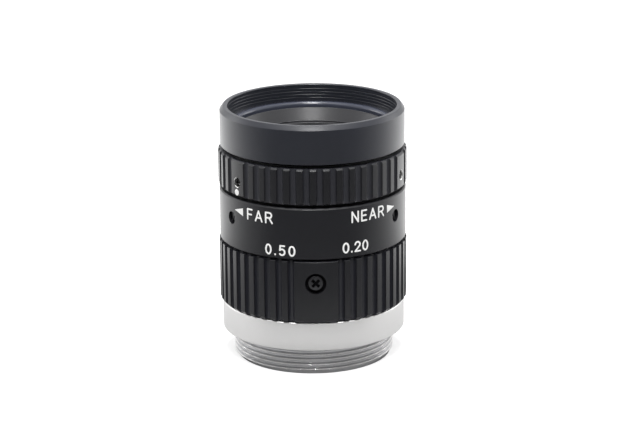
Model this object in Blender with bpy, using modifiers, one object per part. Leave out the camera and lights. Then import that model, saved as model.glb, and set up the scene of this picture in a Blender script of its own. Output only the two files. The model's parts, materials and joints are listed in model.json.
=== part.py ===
"""C-mount machine vision lens, fixed focal length, standing on its mount thread.

Frame: origin at the centre of the thread's end face, +Z along the optical axis
towards the scene, -Y the side with the iris drive screw. Azimuths are measured from
the front (-Y) towards +X. All lengths are metres, written as millimetres times MM.

The lens is modelled at its FAR stop with the iris fully open.
"""
import math

import bmesh
import bpy
from mathutils import Matrix, Vector

MM = 0.001

# Axial stack, from the thread's end face upwards
THREAD_LENGTH = 4.5 * MM
COLLAR_HEIGHT = 4.5 * MM
IRIS_SEAT_GAP = 0.1 * MM
IRIS_RING_HEIGHT = 9.9 * MM
IRIS_TOP_GAP = 0.3 * MM
BARREL_HEIGHT = 8.2 * MM
FOCUS_GAP = 0.55 * MM
FOCUS_RING_HEIGHT = 5.7 * MM
BEZEL_GAP = 0.6 * MM
BEZEL_HEIGHT = 6.1 * MM

# Radial stack: every radius outside the rear cell is a sum of walls and gaps on the thread
THREAD_RADIUS = 12.7 * MM
THREAD_WALL = 2.3 * MM
CELL_TUBE_GAP = 0.5 * MM
CELL_STEP = 1.25 * MM
FIT_GAP = 0.15 * MM
LENS_BARREL_WALL = 0.9 * MM
SLIDE_GAP = 0.2 * MM
NECK_WALL = 0.9 * MM
TAIL_STEP = 0.9 * MM
TAIL_WALL = 0.8 * MM
COLLAR_WALL = 1.92 * MM
IRIS_RING_WALL = 1.4 * MM
SLEEVE_WALL = 0.8 * MM
SLEEVE_STEP = 0.3 * MM
BARREL_WALL = 1.42 * MM
FOCUS_RING_WALL = 1.25 * MM
BEZEL_WALL = 2.19 * MM
MOUTH_WALL = 1.19 * MM

# Gap left between pieces that rest on each other
SEAT_GAP = 0.3 * MM
# Gap left beside pieces that run against each other inside the iris
RUN_GAP = 0.2 * MM

# Mount thread and collar
THREAD_CHAMFER = 0.5 * MM
UNDERCUT_WIDTH = 0.4 * MM
UNDERCUT_DEPTH = 0.6 * MM
THREAD_RUNOUT = 0.2 * MM
SEAT_RELIEF_WIDTH = 0.15 * MM
SEAT_RELIEF_DEPTH = 0.1 * MM
COLLAR_CHAMFER = 0.15 * MM
COLLAR_TOP_CHAMFER = 0.3 * MM
SOCKET_FLOOR = 0.5 * MM

# Edge breaks of the black rings, and a light one on each end's corner
IRIS_CHAMFER_TOP = 0.2 * MM
IRIS_CHAMFER_LOW = 0.42 * MM
FOCUS_CHAMFER = 0.28 * MM
BARREL_CHAMFER = 0.2 * MM
BEZEL_CHAMFER_WIDTH = 0.54 * MM
BEZEL_CHAMFER_HEIGHT = 0.7 * MM
BEZEL_EDGE = 0.15 * MM

# Grip grooves
IRIS_POSITIONS = 47
IRIS_GROOVE_WIDTH = 1.04 * MM
IRIS_GROOVE_DEPTH = 0.9 * MM
IRIS_PANEL_AZIMUTH = 1.9
IRIS_PANEL_SKIPS = 3
FOCUS_PANELS = 3
FOCUS_GROOVES_A_PANEL = 14
FOCUS_GROOVE_WIDTH = 1.18 * MM
FOCUS_GROOVE_DEPTH = 0.46 * MM
FOCUS_PANEL_AZIMUTH = -51.6
GROOVE_STEPS = 5

# Iris drive screw
IRIS_SCREW_AZIMUTH = 1.5
IRIS_SCREW_HEIGHT = 6.45 * MM
IRIS_SCREW_SHANK = 0.5 * MM
IRIS_SCREW_HEAD = 1.15 * MM
IRIS_SCREW_HEAD_HEIGHT = 0.5 * MM
IRIS_SCREW_EDGE = 0.1 * MM
IRIS_SCREW_RECESS = 0.25 * MM
IRIS_COUNTERBORE = 1.65 * MM
CROSS_LENGTH = 1.45 * MM
CROSS_WIDTH = 0.36 * MM
CROSS_DEPTH = 0.28 * MM

# Grub screws in the focus ring, guide screws in the barrel, and how far their slots are turned
GRUB_HEIGHT = 2.25 * MM
GRUB_RADIUS = 0.66 * MM
GRUB_LENGTH = 0.65 * MM
GUIDE_SCREWS = 3
GUIDE_AZIMUTH = -58.9
GUIDE_DROP = 3.3 * MM
GUIDE_RADIUS = 0.95 * MM
GUIDE_RECESS = 0.5 * MM
GUIDE_TIP_RADIUS = 0.5 * MM
GUIDE_TIP_LENGTH = 0.45 * MM
DRIVE_SLOT_WIDTH = 0.26 * MM
DRIVE_SLOT_DEPTH = 0.35 * MM
SCREW_HOLE_GAP = 0.12 * MM
GUIDE_SLOT_TWIST = 65.0
GRUB_SLOT_TWIST = 35.0
SLOT_TWIST_STEP = 40.0

# Helicoid: the focus ring's turn moves the lens barrel along the axis
FOCUS_TURN = 115.0
HELICOID_LEAD = 3.6 * MM
SLEEVE_DEPTH = 4.6 * MM
SLEEVE_TOP = 0.15 * MM
RETAINING_GROOVE_DEPTH = 0.35 * MM

# Straight guide pin at the back
PIN_AZIMUTH = 180.0
PIN_RADIUS = 0.75 * MM
PIN_BITE = 0.55 * MM
PIN_HOLD = 1.3 * MM
PIN_BELOW_SLEEVE = 0.65 * MM

# Bezel's inside
MOUTH_DEPTH = 2.7 * MM
MOUTH_CHAMFER = 0.2 * MM
LIP_HEIGHT = 1.35 * MM
LIP_BORE_DROP = 0.35 * MM
LIP_FLAT = 0.8 * MM
LIP_ROUND = 0.55 * MM
LIP_STEPS = 4

# Lens barrel's front
FRONT_CONE_DROP = 3.5 * MM
FRONT_CONE_HEIGHT = 1.9 * MM
FRONT_CONE_FLARE = 0.95 * MM
FRONT_CONE_STEP = 0.15 * MM
FRONT_SEAT_HEIGHT = 4.85 * MM
FRONT_LIP = 1.25 * MM
SECOND_SEAT_HEIGHT = 5.9 * MM
SECOND_STEP = 2.0 * MM
STOP_STEP = 1.4 * MM
FRONT_RETAINER_HEIGHT = 1.0 * MM
FRONT_RETAINER_WALL = 0.85 * MM
SPACER_WALL = 0.8 * MM
SPANNER_NOTCH = 0.8 * MM

# Glass: edge thicknesses, and how far each face rises from its edge to the axis
FRONT_LENS_EDGE = 3.0 * MM
FRONT_LENS_RISE = 1.23 * MM
FRONT_HOLLOW_RISE = 3.05 * MM
FRONT_HOLLOW_STEP = 3.05 * MM
SECOND_LENS_EDGE = 2.4 * MM
SECOND_LENS_FRONT = 2.1 * MM
SECOND_LENS_BACK = 0.9 * MM
THIRD_LENS_EDGE = 1.6 * MM
THIRD_LENS_FRONT = 1.75 * MM
THIRD_LENS_BACK = 2.6 * MM
REAR_LENS_EDGE = 1.7 * MM
REAR_LENS_FRONT = 0.55 * MM
REAR_LENS_BACK = 1.15 * MM

# Rear cell
CELL_RECESS = 2.0 * MM
CELL_WALL = 1.6 * MM
CELL_SEAT_DROP = 1.4 * MM
CELL_SEAT_LIP = 1.3 * MM
CELL_FLANGE = 2.7 * MM
REAR_RETAINER_HEIGHT = 1.1 * MM
REAR_RETAINER_WALL = 1.25 * MM

# Iris diaphragm
BLADES = 6
IRIS_TURN = 50.0
BLADE_TURN = 27.0
BLADE_CLEAR = 0.15 * MM
BLADE_WIDTH = 2.85 * MM
BLADE_THICKNESS = 0.15 * MM
BLADE_PITCH = 0.25 * MM
BLADE_START = 8.0
BLADE_TAIL = 24.0
BLADE_END = 128.0
BLADE_END_SLANT = 8.0
PIVOT_INSET = 2.35 * MM
BLADE_INSET = 1.0 * MM
PIVOT_OFFSET = 6.0
BLADE_LEVER = 1.9 * MM
BLADE_PIN = 0.28 * MM
BLADE_PIN_GAP = 0.1 * MM
BLADE_PIN_ROOT = 0.04 * MM
PIVOT_PIN_RECESS = 0.12 * MM
PIVOT_BOSS = 0.7 * MM
LEVER_BOSS = 0.6 * MM
PLATE_GAP = 0.15 * MM
PLATE_THICKNESS = 0.6 * MM
CAM_THICKNESS = 1.35 * MM
CAM_SKIRT = 1.3 * MM
CAM_SKIRT_WALL = 0.7 * MM
CAM_WEB = 2.8 * MM
CAM_ABOVE_SCREW = 0.7 * MM
FORK_GAP = 0.15 * MM
FORK_DEPTH = 0.85 * MM
CAM_SLOT_END = 60.0

# Facets: outer pieces, pieces inside, lens elements, screws and small pins
ROUND_STEPS = 40
INNER_STEPS = 32
GLASS_STEPS = 24
SCREW_STEPS = 10
HEAD_STEPS = 20
PIN_STEPS = 8
WINDOW_STEPS = 9
DOME_STEPS = 3
CAM_STEPS = 7
CAM_END_STEPS = 3
BLADE_INNER_STEPS = 9
BLADE_OUTER_STEPS = 8
PIVOT_BOSS_STEPS = 3
LEVER_BOSS_STEPS = 5
HANDLE_SIZE = 10 * MM
SMOOTH_ANGLE = 32.0

# Levels worked out from the stack
FLANGE_Z = THREAD_LENGTH
COLLAR_TOP = FLANGE_Z + COLLAR_HEIGHT
IRIS_BOTTOM = COLLAR_TOP + IRIS_SEAT_GAP
IRIS_TOP = IRIS_BOTTOM + IRIS_RING_HEIGHT
BARREL_BOTTOM = IRIS_TOP + IRIS_TOP_GAP
BARREL_TOP = BARREL_BOTTOM + BARREL_HEIGHT
FOCUS_BOTTOM = BARREL_TOP + FOCUS_GAP
FOCUS_TOP = FOCUS_BOTTOM + FOCUS_RING_HEIGHT
BEZEL_BOTTOM = FOCUS_TOP + BEZEL_GAP
BEZEL_TOP = BEZEL_BOTTOM + BEZEL_HEIGHT

# Radii worked out from the thread outwards
MOUNT_BORE = THREAD_RADIUS - THREAD_WALL
CELL_TUBE_RADIUS = MOUNT_BORE - CELL_TUBE_GAP
CELL_RADIUS = CELL_TUBE_RADIUS + CELL_STEP
CHAMBER_RADIUS = CELL_RADIUS + FIT_GAP
LENS_BARREL_RADIUS = CHAMBER_RADIUS + LENS_BARREL_WALL
BARREL_BORE = LENS_BARREL_RADIUS + SLIDE_GAP
NECK_RADIUS = BARREL_BORE + NECK_WALL
TAIL_RADIUS = NECK_RADIUS - TAIL_STEP
TAIL_BORE = TAIL_RADIUS - TAIL_WALL
SOCKET_RADIUS = TAIL_RADIUS + FIT_GAP
COLLAR_RADIUS = SOCKET_RADIUS + COLLAR_WALL
IRIS_RING_BORE = NECK_RADIUS + FIT_GAP
IRIS_RING_RADIUS = IRIS_RING_BORE + IRIS_RING_WALL
SLEEVE_BORE = LENS_BARREL_RADIUS + FIT_GAP
SLEEVE_LOWER_RADIUS = SLEEVE_BORE + SLEEVE_WALL
SLEEVE_RADIUS = SLEEVE_LOWER_RADIUS + SLEEVE_STEP
COUNTERBORE_RADIUS = SLEEVE_LOWER_RADIUS + FIT_GAP
BARREL_RADIUS = COUNTERBORE_RADIUS + BARREL_WALL
FOCUS_RING_BORE = SLEEVE_RADIUS + FIT_GAP
FOCUS_RING_RADIUS = FOCUS_RING_BORE + FOCUS_RING_WALL
BEZEL_SOCKET = LENS_BARREL_RADIUS + FIT_GAP
BEZEL_RADIUS = BEZEL_SOCKET + BEZEL_WALL
MOUTH_RADIUS = BEZEL_RADIUS - MOUTH_WALL
FRONT_CELL_RADIUS = LENS_BARREL_RADIUS - LIP_BORE_DROP
SECOND_BORE = FRONT_CELL_RADIUS - FRONT_LIP - SECOND_STEP
FRONT_BORE = FRONT_CELL_RADIUS - FRONT_LIP
STOP_BORE = SECOND_BORE - STOP_STEP
CELL_BORE = CELL_TUBE_RADIUS - CELL_WALL
PIVOT_RADIUS = CELL_RADIUS - PIVOT_INSET
BLADE_OUTER = PIVOT_RADIUS - BLADE_INSET
BLADE_INNER = BLADE_OUTER - BLADE_WIDTH
IRIS_OPEN_RADIUS = BLADE_INNER - BLADE_CLEAR
CAM_BORE = PIVOT_RADIUS - CAM_WEB

# Levels inside, from the iris drive screw and from the bezel
IRIS_SCREW_Z = IRIS_BOTTOM + IRIS_SCREW_HEIGHT
CAM_TOP = IRIS_SCREW_Z + CAM_ABOVE_SCREW
CAM_BOTTOM = CAM_TOP - CAM_THICKNESS
CAM_SKIRT_BOTTOM = CAM_BOTTOM - CAM_SKIRT
BLADE_STACK_BOTTOM = CAM_TOP + RUN_GAP
BLADE_STACK_TOP = BLADE_STACK_BOTTOM + (BLADES - 1) * BLADE_PITCH + BLADE_THICKNESS
PLATE_BOTTOM = BLADE_STACK_TOP + PLATE_GAP
PLATE_TOP = PLATE_BOTTOM + PLATE_THICKNESS
CHAMBER_TOP = PLATE_TOP + BLADE_PIN_GAP
CELL_TOP = CAM_SKIRT_BOTTOM - RUN_GAP
CELL_FLANGE_BOTTOM = CELL_TOP - CELL_FLANGE
LENS_BARREL_BOTTOM = CELL_FLANGE_BOTTOM - SEAT_GAP
BARREL_SHOULDER = LENS_BARREL_BOTTOM - SEAT_GAP
TAIL_BOTTOM = FLANGE_Z + SOCKET_FLOOR + SEAT_GAP
SLEEVE_BOTTOM = BARREL_TOP - SLEEVE_DEPTH
COUNTERBORE_FLOOR = SLEEVE_BOTTOM - SEAT_GAP
SLEEVE_STEP_Z = BARREL_TOP + SEAT_GAP
GUIDE_Z = BARREL_TOP - GUIDE_DROP
GRUB_Z = FOCUS_BOTTOM + GRUB_HEIGHT
PIN_Z = COUNTERBORE_FLOOR - PIN_BELOW_SLEEVE - PIN_RADIUS
FRONT_CONE_TOP = BEZEL_TOP - FRONT_CONE_DROP
FRONT_CONE_BOTTOM = FRONT_CONE_TOP - FRONT_CONE_HEIGHT
FRONT_SEAT = FRONT_CONE_BOTTOM - FRONT_SEAT_HEIGHT
SECOND_SEAT = FRONT_SEAT - SECOND_SEAT_HEIGHT
LIP_TOP = BEZEL_TOP - MOUTH_DEPTH
LIP_BOTTOM = LIP_TOP - LIP_HEIGHT
FOCUS_TRAVEL = HELICOID_LEAD * FOCUS_TURN / 360

PARTS = "c_mount_lens"
CUTTERS = "cutters"


def clear_scene():
    """Empties the file of objects and of what they leave behind."""
    for item in list(bpy.data.objects):
        bpy.data.objects.remove(item, do_unlink=True)
    for group in (bpy.data.meshes, bpy.data.curves, bpy.data.materials, bpy.data.collections):
        for block in list(group):
            group.remove(block)


def collection(name):
    """Makes a collection in the scene, or finds the one that has the name."""
    found = bpy.data.collections.get(name)
    if found is None:
        found = bpy.data.collections.new(name)
        bpy.context.scene.collection.children.link(found)
    return found


def principled(name, colour, roughness, metallic=0.0, transmission=0.0):
    """One Principled material with the finish of a piece."""
    made = bpy.data.materials.new(name)
    made.use_nodes = True
    made.diffuse_color = (*colour, 1.0)
    shader = made.node_tree.nodes["Principled BSDF"]
    shader.inputs["Base Color"].default_value = (*colour, 1.0)
    shader.inputs["Roughness"].default_value = roughness
    shader.inputs["Metallic"].default_value = metallic
    shader.inputs["Transmission Weight"].default_value = transmission
    return made


FINISHES = {
    "anodised": ((0.022, 0.023, 0.027), 0.38, 0.6, 0.0),
    "inner_black": ((0.012, 0.012, 0.013), 0.6, 0.3, 0.0),
    "satin_chrome": ((0.62, 0.61, 0.60), 0.28, 1.0, 0.0),
    "black_oxide": ((0.03, 0.03, 0.032), 0.35, 0.9, 0.0),
    "brass": ((0.72, 0.55, 0.28), 0.35, 1.0, 0.0),
    "blade_steel": ((0.05, 0.05, 0.055), 0.4, 0.8, 0.0),
    "glass": ((0.92, 0.95, 0.97), 0.02, 0.0, 1.0),
}


def finish_piece(piece, finish, parent=None):
    """Puts a piece in the parts collection with its own material, under its moving unit."""
    colour, roughness, metallic, transmission = FINISHES[finish]
    piece.data.materials.clear()
    piece.data.materials.append(
        principled(piece.name + "_finish", colour, roughness, metallic, transmission))
    smooth = piece.modifiers.new("smooth by angle", "NODES")
    smooth.node_group = smooth_by_angle()
    if parent is not None:
        piece.parent = parent
    return piece


def smooth_by_angle():
    """Node group that shades smooth, apart from edges sharper than SMOOTH_ANGLE."""
    found = bpy.data.node_groups.get("smooth_by_angle")
    if found is not None:
        return found
    tree = bpy.data.node_groups.new("smooth_by_angle", "GeometryNodeTree")
    tree.interface.new_socket("Geometry", in_out="INPUT", socket_type="NodeSocketGeometry")
    tree.interface.new_socket("Geometry", in_out="OUTPUT", socket_type="NodeSocketGeometry")
    entry = tree.nodes.new("NodeGroupInput")
    leave = tree.nodes.new("NodeGroupOutput")
    faces = tree.nodes.new("GeometryNodeSetShadeSmooth")
    edges = tree.nodes.new("GeometryNodeSetShadeSmooth")
    edges.domain = "EDGE"
    edges.inputs["Shade Smooth"].default_value = False
    angle = tree.nodes.new("GeometryNodeInputMeshEdgeAngle")
    sharper = tree.nodes.new("FunctionNodeCompare")
    sharper.data_type = "FLOAT"
    sharper.operation = "GREATER_THAN"
    sharper.inputs["B"].default_value = math.radians(SMOOTH_ANGLE)
    link = tree.links.new
    link(entry.outputs["Geometry"], faces.inputs["Geometry"])
    link(faces.outputs["Geometry"], edges.inputs["Geometry"])
    link(angle.outputs["Unsigned Angle"], sharper.inputs["A"])
    link(sharper.outputs["Result"], edges.inputs["Selection"])
    link(edges.outputs["Geometry"], leave.inputs["Geometry"])
    return tree


def add_object(name, data, home=PARTS):
    """Links new object data into one of the two collections."""
    item = bpy.data.objects.new(name, data)
    collection(home).objects.link(item)
    return item


def as_cutter(item):
    """Marks an object as a tool for Booleans that is no piece of the lens."""
    item.hide_render = True
    item.display_type = "WIRE"
    return item


def turned(name, profile, steps=ROUND_STEPS, home=PARTS, first_angle=0.0):
    """Turned solid: the (radius, height) profile, outer side first and downwards.

    A profile that starts and ends on the axis stays open, any other is closed.
    """
    turn = math.radians(first_angle)
    points = [(r * math.cos(turn), r * math.sin(turn), z) for r, z in profile]
    edges = [(i, i + 1) for i in range(len(points) - 1)]
    if profile[0][0] > 0:
        edges.append((len(points) - 1, 0))
    mesh = bpy.data.meshes.new(name)
    mesh.from_pydata(points, edges, [])
    item = add_object(name, mesh, home)
    screw = item.modifiers.new("turn", "SCREW")
    screw.axis = "Z"
    screw.angle = math.tau
    screw.steps = steps
    screw.render_steps = steps
    screw.use_merge_vertices = True
    screw.merge_threshold = 0.000001
    return item


def flat(name, outline, thickness, middle, home=PARTS):
    """Flat plate: a closed 2D outline filled and extruded, then made a welded mesh."""
    curve = bpy.data.curves.new(name, "CURVE")
    curve.dimensions = "2D"
    curve.fill_mode = "BOTH"
    curve.extrude = thickness / 2
    spline = curve.splines.new("POLY")
    spline.points.add(len(outline) - 1)
    for point, (x, y) in zip(spline.points, outline):
        point.co = (x, y, 0.0, 1.0)
    spline.use_cyclic_u = True
    drawn = bpy.data.objects.new(name + "_outline", curve)
    collection(home).objects.link(drawn)
    depsgraph = bpy.context.evaluated_depsgraph_get()
    mesh = bpy.data.meshes.new_from_object(drawn.evaluated_get(depsgraph))
    bpy.data.objects.remove(drawn, do_unlink=True)
    shape = bmesh.new()
    shape.from_mesh(mesh)
    bmesh.ops.remove_doubles(shape, verts=shape.verts, dist=0.000001)
    bmesh.ops.translate(shape, verts=shape.verts, vec=(0.0, 0.0, middle))
    bmesh.ops.recalc_face_normals(shape, faces=shape.faces)
    shape.to_mesh(mesh)
    shape.free()
    mesh.name = name
    return add_object(name, mesh, home)


def radial_frame(azimuth, height):
    """Matrix whose Z points out of the lens at an azimuth, X along the rim and Y up."""
    turn = math.radians(azimuth)
    out = Vector((math.sin(turn), -math.cos(turn), 0.0))
    up = Vector((0.0, 0.0, 1.0))
    along = up.cross(out)
    frame = Matrix((along, up, out)).transposed().to_4x4()
    frame.translation = (0.0, 0.0, height)
    return frame


def compass(radius, azimuth):
    """Point in the plan at a radius and an azimuth from the front."""
    turn = math.radians(azimuth)
    return (radius * math.sin(turn), -radius * math.cos(turn))


def arc(centre, radius, start, end, count):
    """Points along an arc, angles in degrees from +X, both ends included."""
    angles = [math.radians(start + (end - start) * i / (count - 1)) for i in range(count)]
    return [(centre[0] + radius * math.cos(a), centre[1] + radius * math.sin(a)) for a in angles]


def compass_arc(radius, start, end, count):
    """Points along an arc about the axis, angles as azimuths from the front."""
    return [compass(radius, start + (end - start) * i / (count - 1)) for i in range(count)]


def radial_bore(name, azimuth, height, radius, inner, outer, steps=SCREW_STEPS):
    """Cutter for a round hole that runs along a radius of the lens."""
    bore = turned(name, [(0.0, outer), (radius, outer), (radius, inner), (0.0, inner)],
                  steps, CUTTERS)
    bore.matrix_world = radial_frame(azimuth, height)
    return as_cutter(bore)


def box_cutter(name, frame, low, high):
    """Cutter for a straight slot: a box between two corners of a placed frame."""
    shape = bmesh.new()
    bmesh.ops.create_cube(shape, size=1.0)
    size = [b - a for a, b in zip(low, high)]
    middle = [(a + b) / 2 for a, b in zip(low, high)]
    bmesh.ops.scale(shape, vec=size, verts=shape.verts)
    bmesh.ops.translate(shape, vec=middle, verts=shape.verts)
    mesh = bpy.data.meshes.new(name)
    shape.to_mesh(mesh)
    shape.free()
    item = add_object(name, mesh, CUTTERS)
    item.matrix_world = frame
    return as_cutter(item)


def sector_cutter(name, inner, outer, start, end, low, high):
    """Cutter for a window along the rim, between two radii, azimuths and heights."""
    outline = compass_arc(outer, start, end, WINDOW_STEPS)
    outline += compass_arc(inner, end, start, WINDOW_STEPS)
    return as_cutter(flat(name, outline, high - low, (low + high) / 2, CUTTERS))


def joined(name, items):
    """Joins separate closed cutters into one object, each still a body of its own."""
    shape = bmesh.new()
    for item in items:
        mesh = item.data.copy()
        mesh.transform(item.matrix_world)
        shape.from_mesh(mesh)
        bpy.data.meshes.remove(mesh)
        bpy.data.objects.remove(item, do_unlink=True)
    mesh = bpy.data.meshes.new(name)
    shape.to_mesh(mesh)
    shape.free()
    return as_cutter(add_object(name, mesh, CUTTERS))


def cut(piece, cutter, operation="DIFFERENCE"):
    """Adds a Boolean to a piece."""
    step = piece.modifiers.new(cutter.name, "BOOLEAN")
    step.operation = operation
    step.object = cutter
    return piece


def groove_cutters(name, azimuths, radius, width, depth, low, high):
    """Round-bottomed grip grooves, milled along the axis from end to end."""
    half = width / 2
    root = radius - depth + half
    reach = radius + half
    outline = arc((root, 0.0), half, 90, 270, GROOVE_STEPS) + [(reach, -half), (reach, half)]
    tools = []
    for index, azimuth in enumerate(azimuths):
        tool = flat(f"{name}_{index}", outline, high - low, (low + high) / 2, CUTTERS)
        tool.data.transform(Matrix.Rotation(math.radians(azimuth - 90), 4, "Z"))
        tools.append(tool)
    return joined(name, tools)


def rise_at(rise, radius, r):
    """Height over its edge of a spherical face, at a distance r from the axis."""
    curvature = (radius * radius + rise * rise) / (2 * rise)
    return math.sqrt(curvature * curvature - r * r) - (curvature - rise)


def dome(rise, radius, edge, sign):
    """Points of a lens face from its edge to the axis, rising (1) or falling (-1) inwards."""
    rings = [radius * (1 - i / DOME_STEPS) for i in range(1, DOME_STEPS + 1)]
    return [(r, edge + sign * rise_at(rise, radius, r)) for r in rings]


def biconvex(name, radius, top, bottom, front, back):
    """Biconvex element between two edge heights."""
    upper = dome(front, radius, top, 1)
    lower = dome(back, radius, bottom, -1)
    profile = upper[::-1] + [(radius, top), (radius, bottom)] + lower
    return turned(name, profile, GLASS_STEPS)


def empty(name):
    """Handle on the axis for a unit that moves."""
    item = bpy.data.objects.new(name, None)
    item.empty_display_size = HANDLE_SIZE
    collection(PARTS).objects.link(item)
    return item


def slotted(name, azimuth, height, profile, twist):
    """Slotted screw on a radius: a turned body with a driver slot across its end."""
    frame = radial_frame(azimuth, height)
    screw = turned(name, profile, SCREW_STEPS)
    screw.matrix_world = frame
    reach = max(r for r, z in profile) + SCREW_HOLE_GAP
    top = max(z for r, z in profile)
    half = DRIVE_SLOT_WIDTH / 2
    turn = Matrix.Rotation(math.radians(twist), 4, "Z")
    slot = box_cutter(name + "_slot", frame @ turn, (-reach, -half, top - DRIVE_SLOT_DEPTH),
                      (reach, half, top + DRIVE_SLOT_DEPTH))
    return cut(screw, slot)


def spanner_notches(name, piece, radius, top, depth):
    """Two notches across a retaining ring for a pin spanner."""
    half = SPANNER_NOTCH / 2
    tool = box_cutter(name, Matrix.Identity(4), (-radius, -half, top - depth),
                      (radius, half, top + depth))
    return cut(piece, tool)


def mount_base():
    """Plated mount: the 1-32 thread with its undercut, the flange seat and the collar."""
    undercut = THREAD_RADIUS - UNDERCUT_DEPTH
    seat = THREAD_RADIUS + SEAT_RELIEF_WIDTH
    profile = [
        (COLLAR_RADIUS - COLLAR_TOP_CHAMFER, COLLAR_TOP),
        (COLLAR_RADIUS, COLLAR_TOP - COLLAR_TOP_CHAMFER),
        (COLLAR_RADIUS, FLANGE_Z + COLLAR_CHAMFER),
        (COLLAR_RADIUS - COLLAR_CHAMFER, FLANGE_Z),
        (seat, FLANGE_Z),
        (seat, FLANGE_Z + SEAT_RELIEF_DEPTH),
        (undercut, FLANGE_Z + SEAT_RELIEF_DEPTH),
        (undercut, FLANGE_Z - UNDERCUT_WIDTH),
        (THREAD_RADIUS, FLANGE_Z - UNDERCUT_WIDTH - THREAD_RUNOUT),
        (THREAD_RADIUS, THREAD_CHAMFER),
        (THREAD_RADIUS - THREAD_CHAMFER, 0.0),
        (MOUNT_BORE, 0.0),
        (MOUNT_BORE, FLANGE_Z + SOCKET_FLOOR),
        (SOCKET_RADIUS, FLANGE_Z + SOCKET_FLOOR),
        (SOCKET_RADIUS, COLLAR_TOP),
    ]
    return finish_piece(turned("mount_base", profile), "satin_chrome")


def main_barrel():
    """Fixed barrel: printed band, neck for the iris ring, tail in the collar."""
    profile = [
        (BARREL_RADIUS - BARREL_CHAMFER, BARREL_TOP),
        (BARREL_RADIUS, BARREL_TOP - BARREL_CHAMFER),
        (BARREL_RADIUS, BARREL_BOTTOM + BARREL_CHAMFER),
        (BARREL_RADIUS - BARREL_CHAMFER, BARREL_BOTTOM),
        (NECK_RADIUS, BARREL_BOTTOM),
        (NECK_RADIUS, IRIS_BOTTOM),
        (TAIL_RADIUS, IRIS_BOTTOM),
        (TAIL_RADIUS, TAIL_BOTTOM),
        (TAIL_BORE, TAIL_BOTTOM),
        (TAIL_BORE, BARREL_SHOULDER),
        (BARREL_BORE, BARREL_SHOULDER),
        (BARREL_BORE, COUNTERBORE_FLOOR),
        (COUNTERBORE_RADIUS, COUNTERBORE_FLOOR),
        (COUNTERBORE_RADIUS, BARREL_TOP),
    ]
    barrel = turned("main_barrel", profile)
    for index in range(GUIDE_SCREWS):
        azimuth = GUIDE_AZIMUTH + 360 / GUIDE_SCREWS * index
        cut(barrel, radial_bore(f"guide_hole_{index + 1}", azimuth, GUIDE_Z,
                                GUIDE_RADIUS + SCREW_HOLE_GAP,
                                COUNTERBORE_RADIUS - FIT_GAP, BARREL_RADIUS + FIT_GAP))
    margin = math.degrees((IRIS_SCREW_SHANK + SEAT_GAP) / BARREL_BORE)
    half = IRIS_SCREW_SHANK + SEAT_GAP
    cut(barrel, sector_cutter("iris_window", BARREL_BORE - SLIDE_GAP / 2,
                              NECK_RADIUS + FIT_GAP / 2,
                              IRIS_SCREW_AZIMUTH - margin,
                              IRIS_SCREW_AZIMUTH + IRIS_TURN + margin,
                              IRIS_SCREW_Z - half, IRIS_SCREW_Z + half))
    cut(barrel, radial_bore("pin_hole", PIN_AZIMUTH, PIN_Z, PIN_RADIUS + SCREW_HOLE_GAP,
                            BARREL_BORE - SLIDE_GAP / 2, BARREL_BORE + PIN_HOLD + SCREW_HOLE_GAP))
    return finish_piece(barrel, "anodised")


def guide_screws():
    """Three screws whose tips run in the sleeve's groove and hold it on the barrel."""
    top = BARREL_RADIUS - GUIDE_RECESS
    waist = COUNTERBORE_RADIUS + FIT_GAP
    tip = waist - GUIDE_TIP_LENGTH
    profile = [(0.0, top), (GUIDE_RADIUS, top), (GUIDE_RADIUS, waist),
               (GUIDE_TIP_RADIUS, waist), (GUIDE_TIP_RADIUS, tip), (0.0, tip)]
    for index in range(GUIDE_SCREWS):
        azimuth = GUIDE_AZIMUTH + 360 / GUIDE_SCREWS * index
        twist = GUIDE_SLOT_TWIST + SLOT_TWIST_STEP * index
        screw = slotted(f"guide_screw_{index + 1}", azimuth, GUIDE_Z, profile, twist)
        finish_piece(screw, "black_oxide")


def guide_pin():
    """Pin in the barrel's back that keeps the lens barrel from turning."""
    outer = BARREL_BORE + PIN_HOLD
    inner = BARREL_BORE - SLIDE_GAP - PIN_BITE
    profile = [(0.0, outer), (PIN_RADIUS, outer), (PIN_RADIUS, inner), (0.0, inner)]
    pin = turned("guide_pin", profile, SCREW_STEPS)
    pin.matrix_world = radial_frame(PIN_AZIMUTH, PIN_Z)
    return finish_piece(pin, "brass")


def focus_ring(unit):
    """Grooved focus ring with three plain panels, a grub screw hole in each."""
    profile = [
        (FOCUS_RING_RADIUS - FOCUS_CHAMFER, FOCUS_TOP),
        (FOCUS_RING_RADIUS, FOCUS_TOP - FOCUS_CHAMFER),
        (FOCUS_RING_RADIUS, FOCUS_BOTTOM + FOCUS_CHAMFER),
        (FOCUS_RING_RADIUS - FOCUS_CHAMFER, FOCUS_BOTTOM),
        (FOCUS_RING_BORE, FOCUS_BOTTOM),
        (FOCUS_RING_BORE, FOCUS_TOP),
    ]
    positions = FOCUS_PANELS * (FOCUS_GROOVES_A_PANEL + 1)
    pitch = 360 / positions
    ring = turned("focus_ring", profile, positions,
                  first_angle=FOCUS_PANEL_AZIMUTH - 90 + pitch / 2)
    azimuths = [FOCUS_PANEL_AZIMUTH + i * pitch for i in range(positions)
                if i % (FOCUS_GROOVES_A_PANEL + 1)]
    cut(ring, groove_cutters("focus_grooves", azimuths, FOCUS_RING_RADIUS, FOCUS_GROOVE_WIDTH,
                             FOCUS_GROOVE_DEPTH, FOCUS_BOTTOM - FOCUS_GAP / 2,
                             FOCUS_TOP + BEZEL_GAP / 2))
    for index in range(FOCUS_PANELS):
        azimuth = FOCUS_PANEL_AZIMUTH + 360 / FOCUS_PANELS * index
        cut(ring, radial_bore(f"grub_hole_{index + 1}", azimuth, GRUB_Z,
                              GRUB_RADIUS + SCREW_HOLE_GAP, FOCUS_RING_BORE - FIT_GAP / 2,
                              FOCUS_RING_RADIUS + FIT_GAP))
    return finish_piece(ring, "anodised", unit)


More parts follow.
